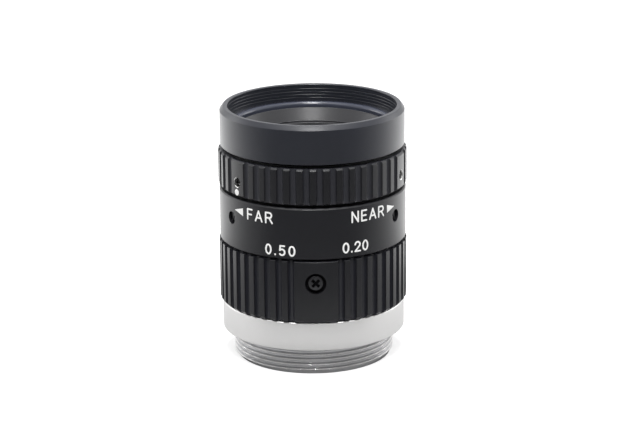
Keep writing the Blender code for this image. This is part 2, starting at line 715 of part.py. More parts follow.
def grub_screws(unit):
    """Grub screws that clamp the focus ring on the helicoid sleeve."""
    tip = SLEEVE_RADIUS + FIT_GAP
    top = tip + GRUB_LENGTH
    profile = [(0.0, top), (GRUB_RADIUS, top), (GRUB_RADIUS, tip), (0.0, tip)]
    for index in range(FOCUS_PANELS):
        azimuth = FOCUS_PANEL_AZIMUTH + 360 / FOCUS_PANELS * index
        twist = GRUB_SLOT_TWIST + SLOT_TWIST_STEP * index
        screw = slotted(f"focus_grub_screw_{index + 1}", azimuth, GRUB_Z, profile, twist)
        finish_piece(screw, "black_oxide", unit)


def helicoid_sleeve(unit):
    """Sleeve under the focus ring, held in the barrel by the guide screws."""
    half = GUIDE_TIP_RADIUS + FIT_GAP
    floor = SLEEVE_LOWER_RADIUS - RETAINING_GROOVE_DEPTH
    top = FOCUS_TOP + SLEEVE_TOP
    profile = [
        (SLEEVE_RADIUS, top),
        (SLEEVE_RADIUS, SLEEVE_STEP_Z),
        (SLEEVE_LOWER_RADIUS, SLEEVE_STEP_Z),
        (SLEEVE_LOWER_RADIUS, GUIDE_Z + half),
        (floor, GUIDE_Z + half),
        (floor, GUIDE_Z - half),
        (SLEEVE_LOWER_RADIUS, GUIDE_Z - half),
        (SLEEVE_LOWER_RADIUS, SLEEVE_BOTTOM),
        (SLEEVE_BORE, SLEEVE_BOTTOM),
        (SLEEVE_BORE, top),
    ]
    return finish_piece(turned("helicoid_sleeve", profile, INNER_STEPS), "inner_black", unit)


def lens_barrel(unit):
    """Sliding barrel that holds the glass: front cone, lens seats and iris chamber."""
    cone_low = FRONT_BORE + FRONT_CONE_STEP
    profile = [
        (FRONT_CELL_RADIUS, FRONT_CONE_TOP),
        (FRONT_CELL_RADIUS, LIP_BOTTOM - SEAT_GAP),
        (LENS_BARREL_RADIUS, LIP_BOTTOM - SEAT_GAP),
        (LENS_BARREL_RADIUS, LENS_BARREL_BOTTOM),
        (CHAMBER_RADIUS, LENS_BARREL_BOTTOM),
        (CHAMBER_RADIUS, CHAMBER_TOP),
        (STOP_BORE, CHAMBER_TOP),
        (STOP_BORE, SECOND_SEAT),
        (SECOND_BORE, SECOND_SEAT),
        (SECOND_BORE, FRONT_SEAT),
        (FRONT_BORE, FRONT_SEAT),
        (FRONT_BORE, FRONT_CONE_BOTTOM),
        (cone_low, FRONT_CONE_BOTTOM),
        (cone_low + FRONT_CONE_FLARE, FRONT_CONE_TOP),
    ]
    barrel = turned("lens_barrel", profile, INNER_STEPS)
    half = IRIS_SCREW_SHANK + SEAT_GAP
    margin = math.degrees(half / CHAMBER_RADIUS)
    cut(barrel, sector_cutter("drive_window", CHAMBER_RADIUS - FIT_GAP,
                              LENS_BARREL_RADIUS + FIT_GAP,
                              IRIS_SCREW_AZIMUTH - margin,
                              IRIS_SCREW_AZIMUTH + IRIS_TURN + margin,
                              IRIS_SCREW_Z - half - FOCUS_TRAVEL, IRIS_SCREW_Z + half))
    side = PIN_RADIUS + SCREW_HOLE_GAP
    cut(barrel, box_cutter("key_way", radial_frame(PIN_AZIMUTH, PIN_Z),
                           (-side, -PIN_RADIUS - FOCUS_TRAVEL - SEAT_GAP,
                            LENS_BARREL_RADIUS - PIN_BITE - RUN_GAP),
                           (side, PIN_RADIUS + SEAT_GAP, LENS_BARREL_RADIUS + SEAT_GAP)))
    return finish_piece(barrel, "inner_black", unit)


def front_bezel(unit):
    """Front ring: chamfered rim, filter mouth and the rounded lip round the glass."""
    bore = FRONT_CELL_RADIUS + FIT_GAP
    rise = MOUTH_RADIUS - LIP_FLAT - bore
    profile = [
        (BEZEL_RADIUS - BEZEL_CHAMFER_WIDTH, BEZEL_TOP),
        (BEZEL_RADIUS, BEZEL_TOP - BEZEL_CHAMFER_HEIGHT),
        (BEZEL_RADIUS, BEZEL_BOTTOM + BEZEL_EDGE),
        (BEZEL_RADIUS - BEZEL_EDGE, BEZEL_BOTTOM),
        (BEZEL_SOCKET, BEZEL_BOTTOM),
        (BEZEL_SOCKET, LIP_BOTTOM),
        (bore, LIP_BOTTOM),
    ]
    for step in range(LIP_STEPS):
        turn = math.radians(90 * step / (LIP_STEPS - 1))
        profile.append((bore + rise * (1 - math.cos(turn)),
                        LIP_TOP - LIP_ROUND * (1 - math.sin(turn))))
    profile += [
        (MOUTH_RADIUS, LIP_TOP),
        (MOUTH_RADIUS, BEZEL_TOP - MOUTH_CHAMFER),
        (MOUTH_RADIUS + MOUTH_CHAMFER, BEZEL_TOP),
    ]
    return finish_piece(turned("front_bezel", profile), "anodised", unit)


def front_glass(unit):
    """Front element, its retaining ring, the spacer and the second element."""
    radius = FRONT_BORE - FIT_GAP
    low = FRONT_SEAT + SEAT_GAP
    edge = low + FRONT_LENS_EDGE
    face = dome(FRONT_LENS_RISE, radius, edge, 1)
    hollow_radius = radius - FRONT_HOLLOW_STEP
    hollow = dome(FRONT_HOLLOW_RISE, hollow_radius, low, 1)
    profile = face[::-1] + [(radius, edge), (radius, low), (hollow_radius, low)] + hollow
    finish_piece(turned("front_lens", profile, GLASS_STEPS), "glass", unit)

    inside = radius - FRONT_RETAINER_WALL
    base = edge + rise_at(FRONT_LENS_RISE, radius, inside) + RUN_GAP
    ring_top = base + FRONT_RETAINER_HEIGHT
    ring = turned("front_retaining_ring", [(radius, ring_top), (radius, base), (inside, base),
                                           (inside, ring_top)], INNER_STEPS)
    spanner_notches("front_notches", ring, FRONT_BORE, ring_top, FRONT_RETAINER_HEIGHT / 2)
    finish_piece(ring, "inner_black", unit)

    outer = SECOND_BORE - FIT_GAP
    second_low = SECOND_SEAT + SEAT_GAP
    second_edge = second_low + SECOND_LENS_EDGE
    finish_piece(biconvex("second_lens", outer, second_edge, second_low,
                          SECOND_LENS_FRONT, SECOND_LENS_BACK), "glass", unit)
    inside = outer - SPACER_WALL
    base = second_edge + rise_at(SECOND_LENS_FRONT, outer, inside) + RUN_GAP
    finish_piece(turned("front_spacer", [(outer, FRONT_SEAT), (outer, base), (inside, base),
                                         (inside, FRONT_SEAT)], INNER_STEPS), "inner_black", unit)


def rear_group(unit):
    """Rear cell with its two elements, the spacer between them and the retaining ring."""
    seat = CELL_TOP - CELL_SEAT_DROP
    low = CELL_RECESS
    profile = [
        (CELL_RADIUS, CELL_TOP),
        (CELL_RADIUS, CELL_FLANGE_BOTTOM),
        (CELL_TUBE_RADIUS, CELL_FLANGE_BOTTOM),
        (CELL_TUBE_RADIUS, low),
        (CELL_BORE, low),
        (CELL_BORE, seat),
        (CELL_BORE - CELL_SEAT_LIP, seat),
        (CELL_BORE - CELL_SEAT_LIP, CELL_TOP),
    ]
    finish_piece(turned("rear_lens_cell", profile, INNER_STEPS), "inner_black", unit)

    radius = CELL_BORE - FIT_GAP
    lip = CELL_BORE - CELL_SEAT_LIP
    top = seat - SEAT_GAP - rise_at(THIRD_LENS_FRONT, radius, lip)
    third_low = top - THIRD_LENS_EDGE
    finish_piece(biconvex("third_lens", radius, top, third_low,
                          THIRD_LENS_FRONT, THIRD_LENS_BACK), "glass", unit)

    inside = radius - REAR_RETAINER_WALL
    ring_low = low + RUN_GAP
    ring_top = ring_low + REAR_RETAINER_HEIGHT
    ring = turned("rear_retaining_ring", [(radius, ring_top), (radius, ring_low),
                                          (inside, ring_low), (inside, ring_top)], INNER_STEPS)
    spanner_notches("rear_notches", ring, CELL_BORE, ring_low, REAR_RETAINER_HEIGHT / 2)
    finish_piece(ring, "inner_black", unit)

    rear_low = ring_top + RUN_GAP + rise_at(REAR_LENS_BACK, radius, inside)
    rear_top = rear_low + REAR_LENS_EDGE
    finish_piece(biconvex("rear_lens", radius, rear_top, rear_low,
                          REAR_LENS_FRONT, REAR_LENS_BACK), "glass", unit)

    inside = radius - SPACER_WALL
    base = rear_top + rise_at(REAR_LENS_FRONT, radius, inside) + RUN_GAP
    head = third_low - rise_at(THIRD_LENS_BACK, radius, inside) - RUN_GAP
    finish_piece(turned("rear_spacer", [(radius, head), (radius, base), (inside, base),
                                        (inside, head)], INNER_STEPS), "inner_black", unit)


def iris_ring(unit):
    """Deeply grooved iris ring with one plain panel for the drive screw."""
    profile = [
        (IRIS_RING_RADIUS - IRIS_CHAMFER_TOP, IRIS_TOP),
        (IRIS_RING_RADIUS, IRIS_TOP - IRIS_CHAMFER_TOP),
        (IRIS_RING_RADIUS, IRIS_BOTTOM + IRIS_CHAMFER_LOW),
        (IRIS_RING_RADIUS - IRIS_CHAMFER_LOW, IRIS_BOTTOM),
        (IRIS_RING_BORE, IRIS_BOTTOM),
        (IRIS_RING_BORE, IRIS_TOP),
    ]
    pitch = 360 / IRIS_POSITIONS
    ring = turned("iris_ring", profile, IRIS_POSITIONS,
                  first_angle=IRIS_PANEL_AZIMUTH - 90 + pitch / 2)
    first = (IRIS_PANEL_SKIPS + 1) // 2
    azimuths = [IRIS_PANEL_AZIMUTH + i * pitch
                for i in range(first, IRIS_POSITIONS - first + 1)]
    cut(ring, groove_cutters("iris_grooves", azimuths, IRIS_RING_RADIUS, IRIS_GROOVE_WIDTH,
                             IRIS_GROOVE_DEPTH, IRIS_BOTTOM - IRIS_TOP_GAP,
                             IRIS_TOP + IRIS_TOP_GAP / 2))
    seat = IRIS_RING_RADIUS - IRIS_SCREW_RECESS - IRIS_SCREW_HEAD_HEIGHT - SCREW_HOLE_GAP
    cut(ring, radial_bore("iris_counterbore", IRIS_SCREW_AZIMUTH, IRIS_SCREW_Z,
                          IRIS_COUNTERBORE, seat, IRIS_RING_RADIUS + FIT_GAP, HEAD_STEPS))
    cut(ring, radial_bore("iris_screw_hole", IRIS_SCREW_AZIMUTH, IRIS_SCREW_Z,
                          IRIS_SCREW_SHANK + SCREW_HOLE_GAP, IRIS_RING_BORE - FIT_GAP,
                          seat + FIT_GAP))
    return finish_piece(ring, "anodised", unit)


def iris_screw(unit):
    """Cross-recess screw in the iris ring whose shank drives the cam ring's fork."""
    top = IRIS_RING_RADIUS - IRIS_SCREW_RECESS
    under = top - IRIS_SCREW_HEAD_HEIGHT
    tip = CELL_RADIUS - FORK_DEPTH + RUN_GAP
    profile = [
        (0.0, top),
        (IRIS_SCREW_HEAD - IRIS_SCREW_EDGE, top),
        (IRIS_SCREW_HEAD, top - IRIS_SCREW_EDGE),
        (IRIS_SCREW_HEAD, under),
        (IRIS_SCREW_SHANK, under),
        (IRIS_SCREW_SHANK, tip),
        (0.0, tip),
    ]
    frame = radial_frame(IRIS_SCREW_AZIMUTH, IRIS_SCREW_Z)
    screw = turned("iris_screw", profile, HEAD_STEPS)
    screw.matrix_world = frame
    long, thin = CROSS_LENGTH / 2, CROSS_WIDTH / 2
    for index, twist in enumerate((45, 135), 1):
        turn = Matrix.Rotation(math.radians(twist), 4, "Z")
        cut(screw, box_cutter(f"cross_{index}", frame @ turn, (-long, -thin, top - CROSS_DEPTH),
                              (long, thin, top + CROSS_DEPTH)))
    return finish_piece(screw, "black_oxide", unit)


def iris_plate(unit):
    """Fixed plate of the diaphragm, with the full aperture and the blades' pivot holes."""
    bevel = IRIS_OPEN_RADIUS + PLATE_THICKNESS
    plate = turned("iris_base_plate", [(CELL_RADIUS, PLATE_TOP), (CELL_RADIUS, PLATE_BOTTOM),
                                       (IRIS_OPEN_RADIUS, PLATE_BOTTOM), (bevel, PLATE_TOP)],
                   INNER_STEPS)
    for index, azimuth in enumerate(blade_azimuths(), 1):
        x, y = compass(PIVOT_RADIUS, azimuth)
        hole = turned(f"pivot_hole_{index}", [(0.0, PLATE_TOP + SEAT_GAP),
                                              (BLADE_PIN + BLADE_PIN_GAP, PLATE_TOP + SEAT_GAP),
                                              (BLADE_PIN + BLADE_PIN_GAP, PLATE_BOTTOM - SEAT_GAP),
                                              (0.0, PLATE_BOTTOM - SEAT_GAP)],
                      PIN_STEPS, CUTTERS)
        hole.location = (x, y, 0.0)
        cut(plate, as_cutter(hole))
    return finish_piece(plate, "inner_black", unit)


def blade_azimuths():
    """Azimuths of the blade pivots, set so that the cam ring's fork falls between slots."""
    return [IRIS_SCREW_AZIMUTH + PIVOT_OFFSET + 360 / BLADES * i for i in range(BLADES)]


def turned_point(point, centre, degrees):
    """A plan point turned about a centre."""
    spin = Matrix.Rotation(math.radians(degrees), 2)
    moved = spin @ (Vector(point) - Vector(centre))
    return Vector(centre) + moved


def cam_slot(azimuth):
    """Outline of one cam slot: the path of a blade's drive pin, seen from the cam ring."""
    overrun = math.degrees(BLADE_PIN_GAP / PIVOT_RADIUS)
    pivot = Vector((PIVOT_RADIUS, 0.0))
    pin = pivot + Vector((0.0, -BLADE_LEVER))
    path = []
    for i in range(CAM_STEPS):
        turn = -overrun + (IRIS_TURN + 2 * overrun) * i / (CAM_STEPS - 1)
        here = turned_point(pin, pivot, turn * BLADE_TURN / IRIS_TURN)
        path.append(turned_point(here, (0.0, 0.0), azimuth - 90 - turn))
    half = BLADE_PIN + BLADE_PIN_GAP
    left, right = [], []
    for i, point in enumerate(path):
        way = path[min(i + 1, CAM_STEPS - 1)] - path[max(i - 1, 0)]
        side = Vector((-way.y, way.x)).normalized() * half
        left.append(point + side)
        right.append(point - side)
    last = path[-1] - path[-2]
    heading = math.degrees(math.atan2(last.y, last.x))
    tail = path[0] - path[1]
    backing = math.degrees(math.atan2(tail.y, tail.x))
    far = arc(path[-1], half, heading + CAM_SLOT_END, heading - CAM_SLOT_END, CAM_END_STEPS)
    near = arc(path[0], half, backing + CAM_SLOT_END, backing - CAM_SLOT_END, CAM_END_STEPS)
    return [tuple(p) for p in left] + far + [tuple(p) for p in reversed(right)] + near


def iris_cam_ring(unit):
    """Cam ring: six curved slots for the blades and a fork for the drive screw."""
    profile = [
        (CELL_RADIUS, CAM_TOP),
        (CELL_RADIUS, CAM_SKIRT_BOTTOM),
        (CELL_RADIUS - CAM_SKIRT_WALL, CAM_SKIRT_BOTTOM),
        (CELL_RADIUS - CAM_SKIRT_WALL, CAM_BOTTOM),
        (CAM_BORE, CAM_BOTTOM),
        (CAM_BORE, CAM_TOP),
    ]
    ring = turned("iris_cam_ring", profile, INNER_STEPS)
    height = CAM_THICKNESS + 2 * RUN_GAP
    middle = (CAM_TOP + CAM_BOTTOM) / 2
    slots = [flat(f"cam_slot_{i}", cam_slot(azimuth), height, middle, CUTTERS)
             for i, azimuth in enumerate(blade_azimuths(), 1)]
    cut(ring, joined("cam_slots", slots))
    half = IRIS_SCREW_SHANK + FORK_GAP
    frame = radial_frame(IRIS_SCREW_AZIMUTH, 0.0)
    cut(ring, box_cutter("fork", frame,
                         (-half, CAM_SKIRT_BOTTOM - RUN_GAP, CELL_RADIUS - FORK_DEPTH),
                         (half, CAM_TOP + RUN_GAP, CELL_RADIUS + RUN_GAP)))
    return finish_piece(ring, "brass", unit)


def blade_outline():
    """Outline of a blade about its pivot: a sickle with a tail and a short lever."""
    pivot = (PIVOT_RADIUS, 0.0)
    lever = (PIVOT_RADIUS, -BLADE_LEVER)
    outline = arc((0.0, 0.0), BLADE_INNER, BLADE_END, BLADE_START, BLADE_INNER_STEPS)
    outline += arc(lever, LEVER_BOSS, 180, 360, LEVER_BOSS_STEPS)
    outline += arc(pivot, PIVOT_BOSS, 0, 60, PIVOT_BOSS_STEPS)
    outline += arc((0.0, 0.0), BLADE_OUTER, BLADE_TAIL, BLADE_END - BLADE_END_SLANT,
                   BLADE_OUTER_STEPS)
    return [(x - PIVOT_RADIUS, y) for x, y in outline]


def blade_pin(name, place, low, high):
    """Round pin of a blade, as a tool for a union."""
    pin = turned(name, [(0.0, high), (BLADE_PIN, high), (BLADE_PIN, low), (0.0, low)],
                 PIN_STEPS, CUTTERS)
    pin.location = place
    return as_cutter(pin)


def iris_blades(unit):
    """Six blades, each on its own level, with a pivot pin up and a drive pin down."""
    outline = blade_outline()
    for index, azimuth in enumerate(blade_azimuths()):
        level = BLADE_STACK_BOTTOM + BLADE_PITCH * index
        blade = flat(f"iris_blade_{index + 1}", outline, BLADE_THICKNESS, 0.0)
        x, y = compass(PIVOT_RADIUS, azimuth)
        middle = level + BLADE_THICKNESS / 2
        place = Matrix.Translation((x, y, middle))
        place = place @ Matrix.Rotation(math.radians(azimuth - 90), 4, "Z")
        blade.matrix_world = place
        pivot = blade_pin(f"pivot_pin_{index + 1}", place @ Vector((0.0, 0.0, 0.0)),
                          -BLADE_PIN_ROOT, PLATE_TOP - PIVOT_PIN_RECESS - middle)
        drive = blade_pin(f"drive_pin_{index + 1}", place @ Vector((0.0, -BLADE_LEVER, 0.0)),
                          CAM_BOTTOM + RUN_GAP - middle, BLADE_PIN_ROOT)
        cut(blade, pivot, "UNION")
        cut(blade, drive, "UNION")
        finish_piece(blade, "blade_steel", unit)


def build():
    """Builds the lens: the fixed pieces, then each unit that moves."""
    clear_scene()
    mount_base()
    main_barrel()
    guide_screws()
    guide_pin()
    focus_unit = empty("focus_unit")
    focus_ring(focus_unit)
    grub_screws(focus_unit)
    helicoid_sleeve(focus_unit)
    lens_unit = empty("lens_unit")
    lens_barrel(lens_unit)
    front_bezel(lens_unit)
    front_glass(lens_unit)
    rear_group(lens_unit)
    iris_plate(lens_unit)
    iris_unit = empty("iris_unit")
    iris_ring(iris_unit)
    iris_screw(iris_unit)
    cam_unit = empty("cam_unit")
    cam_unit.parent = lens_unit
    iris_cam_ring(cam_unit)
    iris_blades(lens_unit)


build()
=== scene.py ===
"""Looks of a C-mount machine vision lens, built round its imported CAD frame.

Azimuths are measured from the front (-Y) towards +X, heights from the thread's end
face. Lengths are in metres, and the lens's own are written as millimetres times MM.
"""
import json
import math

import bmesh
import bpy
import numpy as np
from mathutils import Matrix, Vector


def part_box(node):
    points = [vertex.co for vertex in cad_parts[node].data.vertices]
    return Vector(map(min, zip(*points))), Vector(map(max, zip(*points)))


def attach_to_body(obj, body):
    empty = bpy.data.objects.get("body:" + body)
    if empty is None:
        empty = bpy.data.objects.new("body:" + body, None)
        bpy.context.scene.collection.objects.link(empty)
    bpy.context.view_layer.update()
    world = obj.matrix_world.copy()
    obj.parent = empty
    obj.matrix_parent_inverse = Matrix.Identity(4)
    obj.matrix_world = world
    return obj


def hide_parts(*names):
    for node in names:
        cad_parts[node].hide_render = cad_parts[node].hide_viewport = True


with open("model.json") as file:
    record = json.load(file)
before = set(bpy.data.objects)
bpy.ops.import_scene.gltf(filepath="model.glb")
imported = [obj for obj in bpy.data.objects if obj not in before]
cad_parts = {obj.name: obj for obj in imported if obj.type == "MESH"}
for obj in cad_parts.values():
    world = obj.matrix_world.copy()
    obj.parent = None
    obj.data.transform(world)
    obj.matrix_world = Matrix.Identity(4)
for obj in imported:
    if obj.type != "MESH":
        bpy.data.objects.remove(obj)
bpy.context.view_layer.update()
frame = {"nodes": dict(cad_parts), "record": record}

MM = 0.001

# Camera
FOCAL_PIXELS = 2520.0
IMAGE_WIDTH = 640
SENSOR_WIDTH = 36.0
CAMERA_DISTANCE = 400 * MM
CAMERA_ELEVATION = 16.4
CAMERA_ROLL = 0.45
AIM = (1.13 * MM, 0.0, 22.5 * MM)

# Fineness of the round surfaces
SEGMENTS = 256
SMALL_SEGMENTS = 48
WINDOW_STEPS = 25
WELD = 0.0002 * MM
FILLET_SHARE = 0.48

# Smallest angle of a sharp edge, in degrees
SHARP_ANGLE = 32.0
THREAD_SHARP = 28.0
RING_SHARP = 35.0
SCREW_SHARP = 30.0
GLASS_SHARP = 25.0
PRINT_SHARP = 60.0

# Edge rounding
EDGE = 0.05 * MM
SOFT_EDGE = 0.1 * MM

# Mount thread, 1-32 UN
THREAD_PITCH = 25.4 / 32 * MM
THREAD_DEPTH = 0.36 * MM
THREAD_CREST = 0.0625
THREAD_SLOPE = math.sqrt(3.0)
THREAD_ROWS = 144
THREAD_SEGMENTS = 320
THREAD_CHAMFER = 0.5 * MM
UNDERCUT_WIDTH = 0.4 * MM
UNDERCUT_DEPTH = 0.6 * MM
THREAD_RUNOUT = 0.2 * MM
SEAT_RELIEF_WIDTH = 0.15 * MM
SEAT_RELIEF_DEPTH = 0.1 * MM
FLANGE_Z = 4.5 * MM
COLLAR_CHAMFER = 0.15 * MM
COLLAR_TOP_CHAMFER = 0.08 * MM
SOCKET_FLOOR = 0.5 * MM

# Iris blades and ring
IRIS_BLADES = 6
IRIS_POSITIONS = 47
IRIS_PANEL_AZIMUTH = 1.9
IRIS_PANEL_SKIPS = 3
IRIS_GROOVE_WIDTH = 1.04 * MM
IRIS_GROOVE_DEPTH = 0.9 * MM
IRIS_CHAMFER_TOP = 0.05 * MM
IRIS_CHAMFER_LOW = 0.42 * MM
IRIS_SCREW_AZIMUTH = 1.5
IRIS_COUNTERBORE = 1.65 * MM
IRIS_SCREW_RECESS = 0.25 * MM
CROSS_LENGTH = 1.55 * MM
CROSS_WIDTH = 0.46 * MM
CROSS_DEPTH = 0.38 * MM
CROSS_TWISTS = (45, 135)
HEAD_HEIGHT = 0.5 * MM
HEAD_CROWN = 0.04 * MM
HEAD_BEND = 0.6
HEAD_BEND_RISE = 0.02 * MM
HEAD_DROP = 0.08 * MM
SHANK_RADIUS = 0.5 * MM

# Focus ring
FOCUS_PANELS = 3
FOCUS_POSITIONS = 45
FOCUS_PANEL_AZIMUTH = -51.6
FOCUS_GROOVE_WIDTH = 1.18 * MM
FOCUS_GROOVE_DEPTH = 0.46 * MM
FOCUS_CHAMFER = 0.28 * MM

# Screws and pin
PIN_AZIMUTH = 180.0
FOCUS_TRAVEL = 1.15 * MM
GUIDE_SCREWS = 3
GUIDE_AZIMUTH = -58.9
SLOT_WIDTH = 0.26 * MM
SLOT_DEPTH = 0.35 * MM
HOLE_GAP = 0.1 * MM
GRUB_SINK = 0.09 * MM
GUIDE_SLOT_TWIST = 65.0
GRUB_SLOT_TWIST = 35.0
SLOT_TWIST_STEP = 40.0

# Black anodising: tone, specular level, and what its noises move
BAND_BLACK = (0.0075, 0.0077, 0.0098)
BAND_SPECULAR = 0.36
RING_BLACK = (0.0062, 0.0064, 0.0082)
RING_SPECULAR = 0.44
BEZEL_BLACK = (0.0135, 0.0148, 0.0205)
BEZEL_SPECULAR = 0.42
BLACK_ROUGHNESS = 0.36
BLACK_ROUGHNESSES = (0.3, 0.44)
BLAST_GRAIN = (9000.0, 3.0, 0.6)
BLACK_MARKS = (14000.0, 2.0)
BLACK_CLOUD = (160.0, 3.0)
MARK_SHARE = 0.4
BLACK_RELIEF = (0.25, 0.006 * MM)
CLOUD_SHARE = 0.15
# Painted highlight: how many times lighter the black is deep in the rings' grooves and on the
# bezel's lip, and the depth below the crest at which it is full in the grooves.
PAINTED_LIGHT_GAIN = 3.5
GROOVE_PAINTED_LIGHT_DEPTH = 0.45 * MM
POLISH = 0.5

# Plating
PLATING = (0.76, 0.755, 0.75)
# Painted shade: the thread's roots are greyer than the collar, and its crests a little greyer,
# for the shade between the turns.
SHADED_ROOT_PLATING = (0.48, 0.48, 0.49)
CREST_PLATING = 0.95
ROOT_DEPTH = 0.2 * MM
CREST_DEPTH = 0.04 * MM
PLATING_BLEND = 0.1 * MM
PLATING_MARKS = (12000.0, 3.0)
PLATING_ROUGHNESS = 0.3
THREAD_ROUGHNESS = 0.28
COLLAR_ROUGHNESS = 0.32
MARK_ROUGHNESS = (-0.04, 0.04)
PLATING_RELIEF = (0.12, 0.003 * MM)

# Groove section shared by both rings
GROOVE_EDGE = 0.07 * MM
GROOVE_STEPS = 9
CREST_STEPS = 3
PANEL_STEPS = 24

# Barrel
BARREL_CHAMFER = 0.2 * MM

# Bezel
BEZEL_CHAMFER_WIDTH = 0.54 * MM
BEZEL_CHAMFER_HEIGHT = 0.7 * MM
BEZEL_EDGE = 0.15 * MM
MOUTH_WALL = 1.19 * MM
MOUTH_CHAMFER = 0.2 * MM
MOUTH_DEPTH = 2.7 * MM
LIP_HEIGHT = 1.35 * MM
LIP_ROUND = 0.55 * MM
LIP_FLAT = 0.8 * MM
LIP_STEPS = 12
FILTER_PITCH = 0.5 * MM
FILTER_DEPTH = 0.035 * MM
FILTER_ROWS = 48
FILTER_FOOT_ROWS = 3
FILTER_TOP_ROWS = 2
BEZEL_GAP = 0.15 * MM

# Sliding barrel and its rings
CONE_HEIGHT = 1.9 * MM
NOTCH_HALF = 0.4 * MM
NOTCH_DEPTH = 0.5 * MM

# Glass
LENS_ROWS = 25
GROUND_FROM = 0.998

# Light
TENT_LEVEL = 1.1
FRONT_DARK_LEVEL = 0.1
FRONT_DARK = (-0.75, -0.2)
WORLD_DIFFUSE = 0.35
FLOOR_WHITE = 0.47
# Painted shade: the floor's tone in front of the lens, where it is seen in reflections.
FLOOR_PAINTED_SHADE = 0.17
FLOOR_GLOW = 0.7
# Painted light: the floor glows behind the lens in reflections, over these directions and
# distances.
SIDE_GLOW = 1.85
GLOW_FROM_BEHIND = (-0.45, 0.7)
GLOW_DISTANCE = (44 * MM, 78 * MM)
# Painted shade: where the floor is darker in reflections, in front of the lens, near it and far
# off.
DARK_FRONT = (-0.7, -0.3)
NEAR_DARK = (18 * MM, 26 * MM)
NEAR_DARK_SHARE = 0.2
FAR_DARK = (36 * MM, 54 * MM)
FLOOR_SIZE = 3.0
FLOOR_DROP = 0.02 * MM
FLOOR_ROUGHNESS = 0.9
FLOOR_BASE = (0.8, 0.8, 0.8)
LAMP_AIM = (0.0, 0.0, 25 * MM)

# Lamps: place, width and depth, power
LAMPS = {
    "top_box": ((0.0, -0.16, 0.55), (0.7, 0.3), 1.3),
    "hot_lamp": ((0.0, -0.3, 0.436), (0.13, 0.13), 1.6),
    "spot_lamp": ((0.0, 0.09, 0.5), (0.05, 0.05), 1.6),
    "left_box": ((-0.5, 0.25, 0.15), (0.3, 0.4), 1.0),
    "right_box": ((0.5, 0.25, 0.15), (0.3, 0.4), 1.0),
}

# Printing
PRINT_STROKE = 0.28 * MM
PRINT_THICKNESS = 0.022 * MM
PRINT_RING = 12
PEN_END_TURNS = (88, 15, 6)
ARROW_STEPS = 12
ARROW_POINT = 0.01 * MM
DOT_TURNS = (4, 176, 18)

# Words and numbers: text, azimuths of the two ends, height of the middle, letter height
WORDS = {
    "word_far": ("FAR", -43.5, -24.6, 25.72 * MM, 1.88 * MM),
    "word_near": ("NEAR", 23.8, 48.6, 25.8 * MM, 1.88 * MM),
}
NUMBERS = {
    "number_far": ("0.50", -30.0, -10.5, 20.7 * MM, 1.75 * MM),
    "number_near": ("0.20", 18.0, 35.5, 21.0 * MM, 1.75 * MM),
}

# Arrowheads: azimuths of the tip and the base, height of the middle, width of the base
ARROWS = {
    "arrow_far": (-55.0, -47.0, 25.75 * MM, 1.25 * MM),
    "arrow_near": (59.0, 51.4, 25.85 * MM, 1.25 * MM),
}
DOT_AZIMUTH = -52.0
DOT_HEIGHT = 28.72 * MM
DOT_WIDTH = 1.0 * MM

# Finishes with one noise: its scale and detail, and what it moves. Where a broader cloud
# is given, the tone follows that. Turned marks run round the axis.
FINISHES = {
    "matt_black_inside": {
        "colour": (0.02, 0.02, 0.022), "roughness": 0.42, "turned_marks": True,
        "grain": (9000.0, 2.0), "cloud": (200.0, 2.0),
        "tones": ((0.016, 0.016, 0.018), (0.026, 0.026, 0.03)),
        "roughnesses": (0.34, 0.5), "relief": (0.15, 0.004 * MM),
    },
    "black_oxide_steel": {
        "colour": (0.03, 0.03, 0.033), "roughness": 0.32, "metallic": 0.6,
        "grain": (5000.0, 3.0), "cloud": (900.0, 4.0),
        "tones": ((0.022, 0.022, 0.024), (0.06, 0.06, 0.064)),
        "roughnesses": (0.25, 0.42), "relief": (0.2, 0.005 * MM),
    },
    # Painted shade: a near-black finish on the faces of recesses, for the shade inside them.
    "painted_recess_shade": {
        "colour": (0.004, 0.004, 0.005), "roughness": 0.6, "grain": (5000.0, 2.0),
        "roughnesses": (0.5, 0.7), "Specular_IOR_Level": 0.08,
    },
    "bare_aluminium": {
        "colour": (0.8, 0.8, 0.79), "roughness": 0.25, "metallic": 1.0,
        "grain": (4000.0, 2.0), "roughnesses": (0.18, 0.35),
    },
    "turned_brass": {
        "colour": (0.72, 0.55, 0.28), "roughness": 0.3, "metallic": 1.0,
        "turned_marks": True, "grain": (9000.0, 2.0), "cloud": (250.0, 3.0),
        "tones": ((0.66, 0.49, 0.24), (0.76, 0.59, 0.32)),
        "roughnesses": (0.22, 0.4), "relief": (0.2, 0.004 * MM),
    },
    "blackened_spring_steel": {
        "colour": (0.05, 0.05, 0.055), "roughness": 0.4, "metallic": 0.8,
        "grain": (3000.0, 3.0), "tones": ((0.04, 0.04, 0.045), (0.07, 0.07, 0.075)),
        "roughnesses": (0.32, 0.48),
    },
    "white_fill_paint": {
        "colour": (0.85, 0.85, 0.84), "roughness": 0.5, "grain": (4000.0, 3.0),
        "tones": ((0.8, 0.8, 0.79), (0.9, 0.9, 0.89)), "relief": (0.2, 0.004 * MM),
    },
    "coated_glass": {
        "colour": (0.97, 0.99, 1.0), "roughness": 0.02, "grain": (300.0, 2.0),
        "roughnesses": (0.0, 0.03), "Transmission_Weight": 1.0, "IOR": 1.6,
        "Specular_Tint": (0.55, 0.8, 0.62, 1.0),
    },
}


def corners_of(node):
    """Points of a CAD node as an array."""
    mesh = frame["nodes"][node].data
    points = np.empty(len(mesh.vertices) * 3, np.float32)
    mesh.vertices.foreach_get("co", points)
    return points.reshape(-1, 3).astype(float)


def node_points(node):
    """Distances of a node's points from the axis, and their heights, as two arrays."""
    points = corners_of(node)
    return np.hypot(points[:, 0], points[:, 1]), points[:, 2]


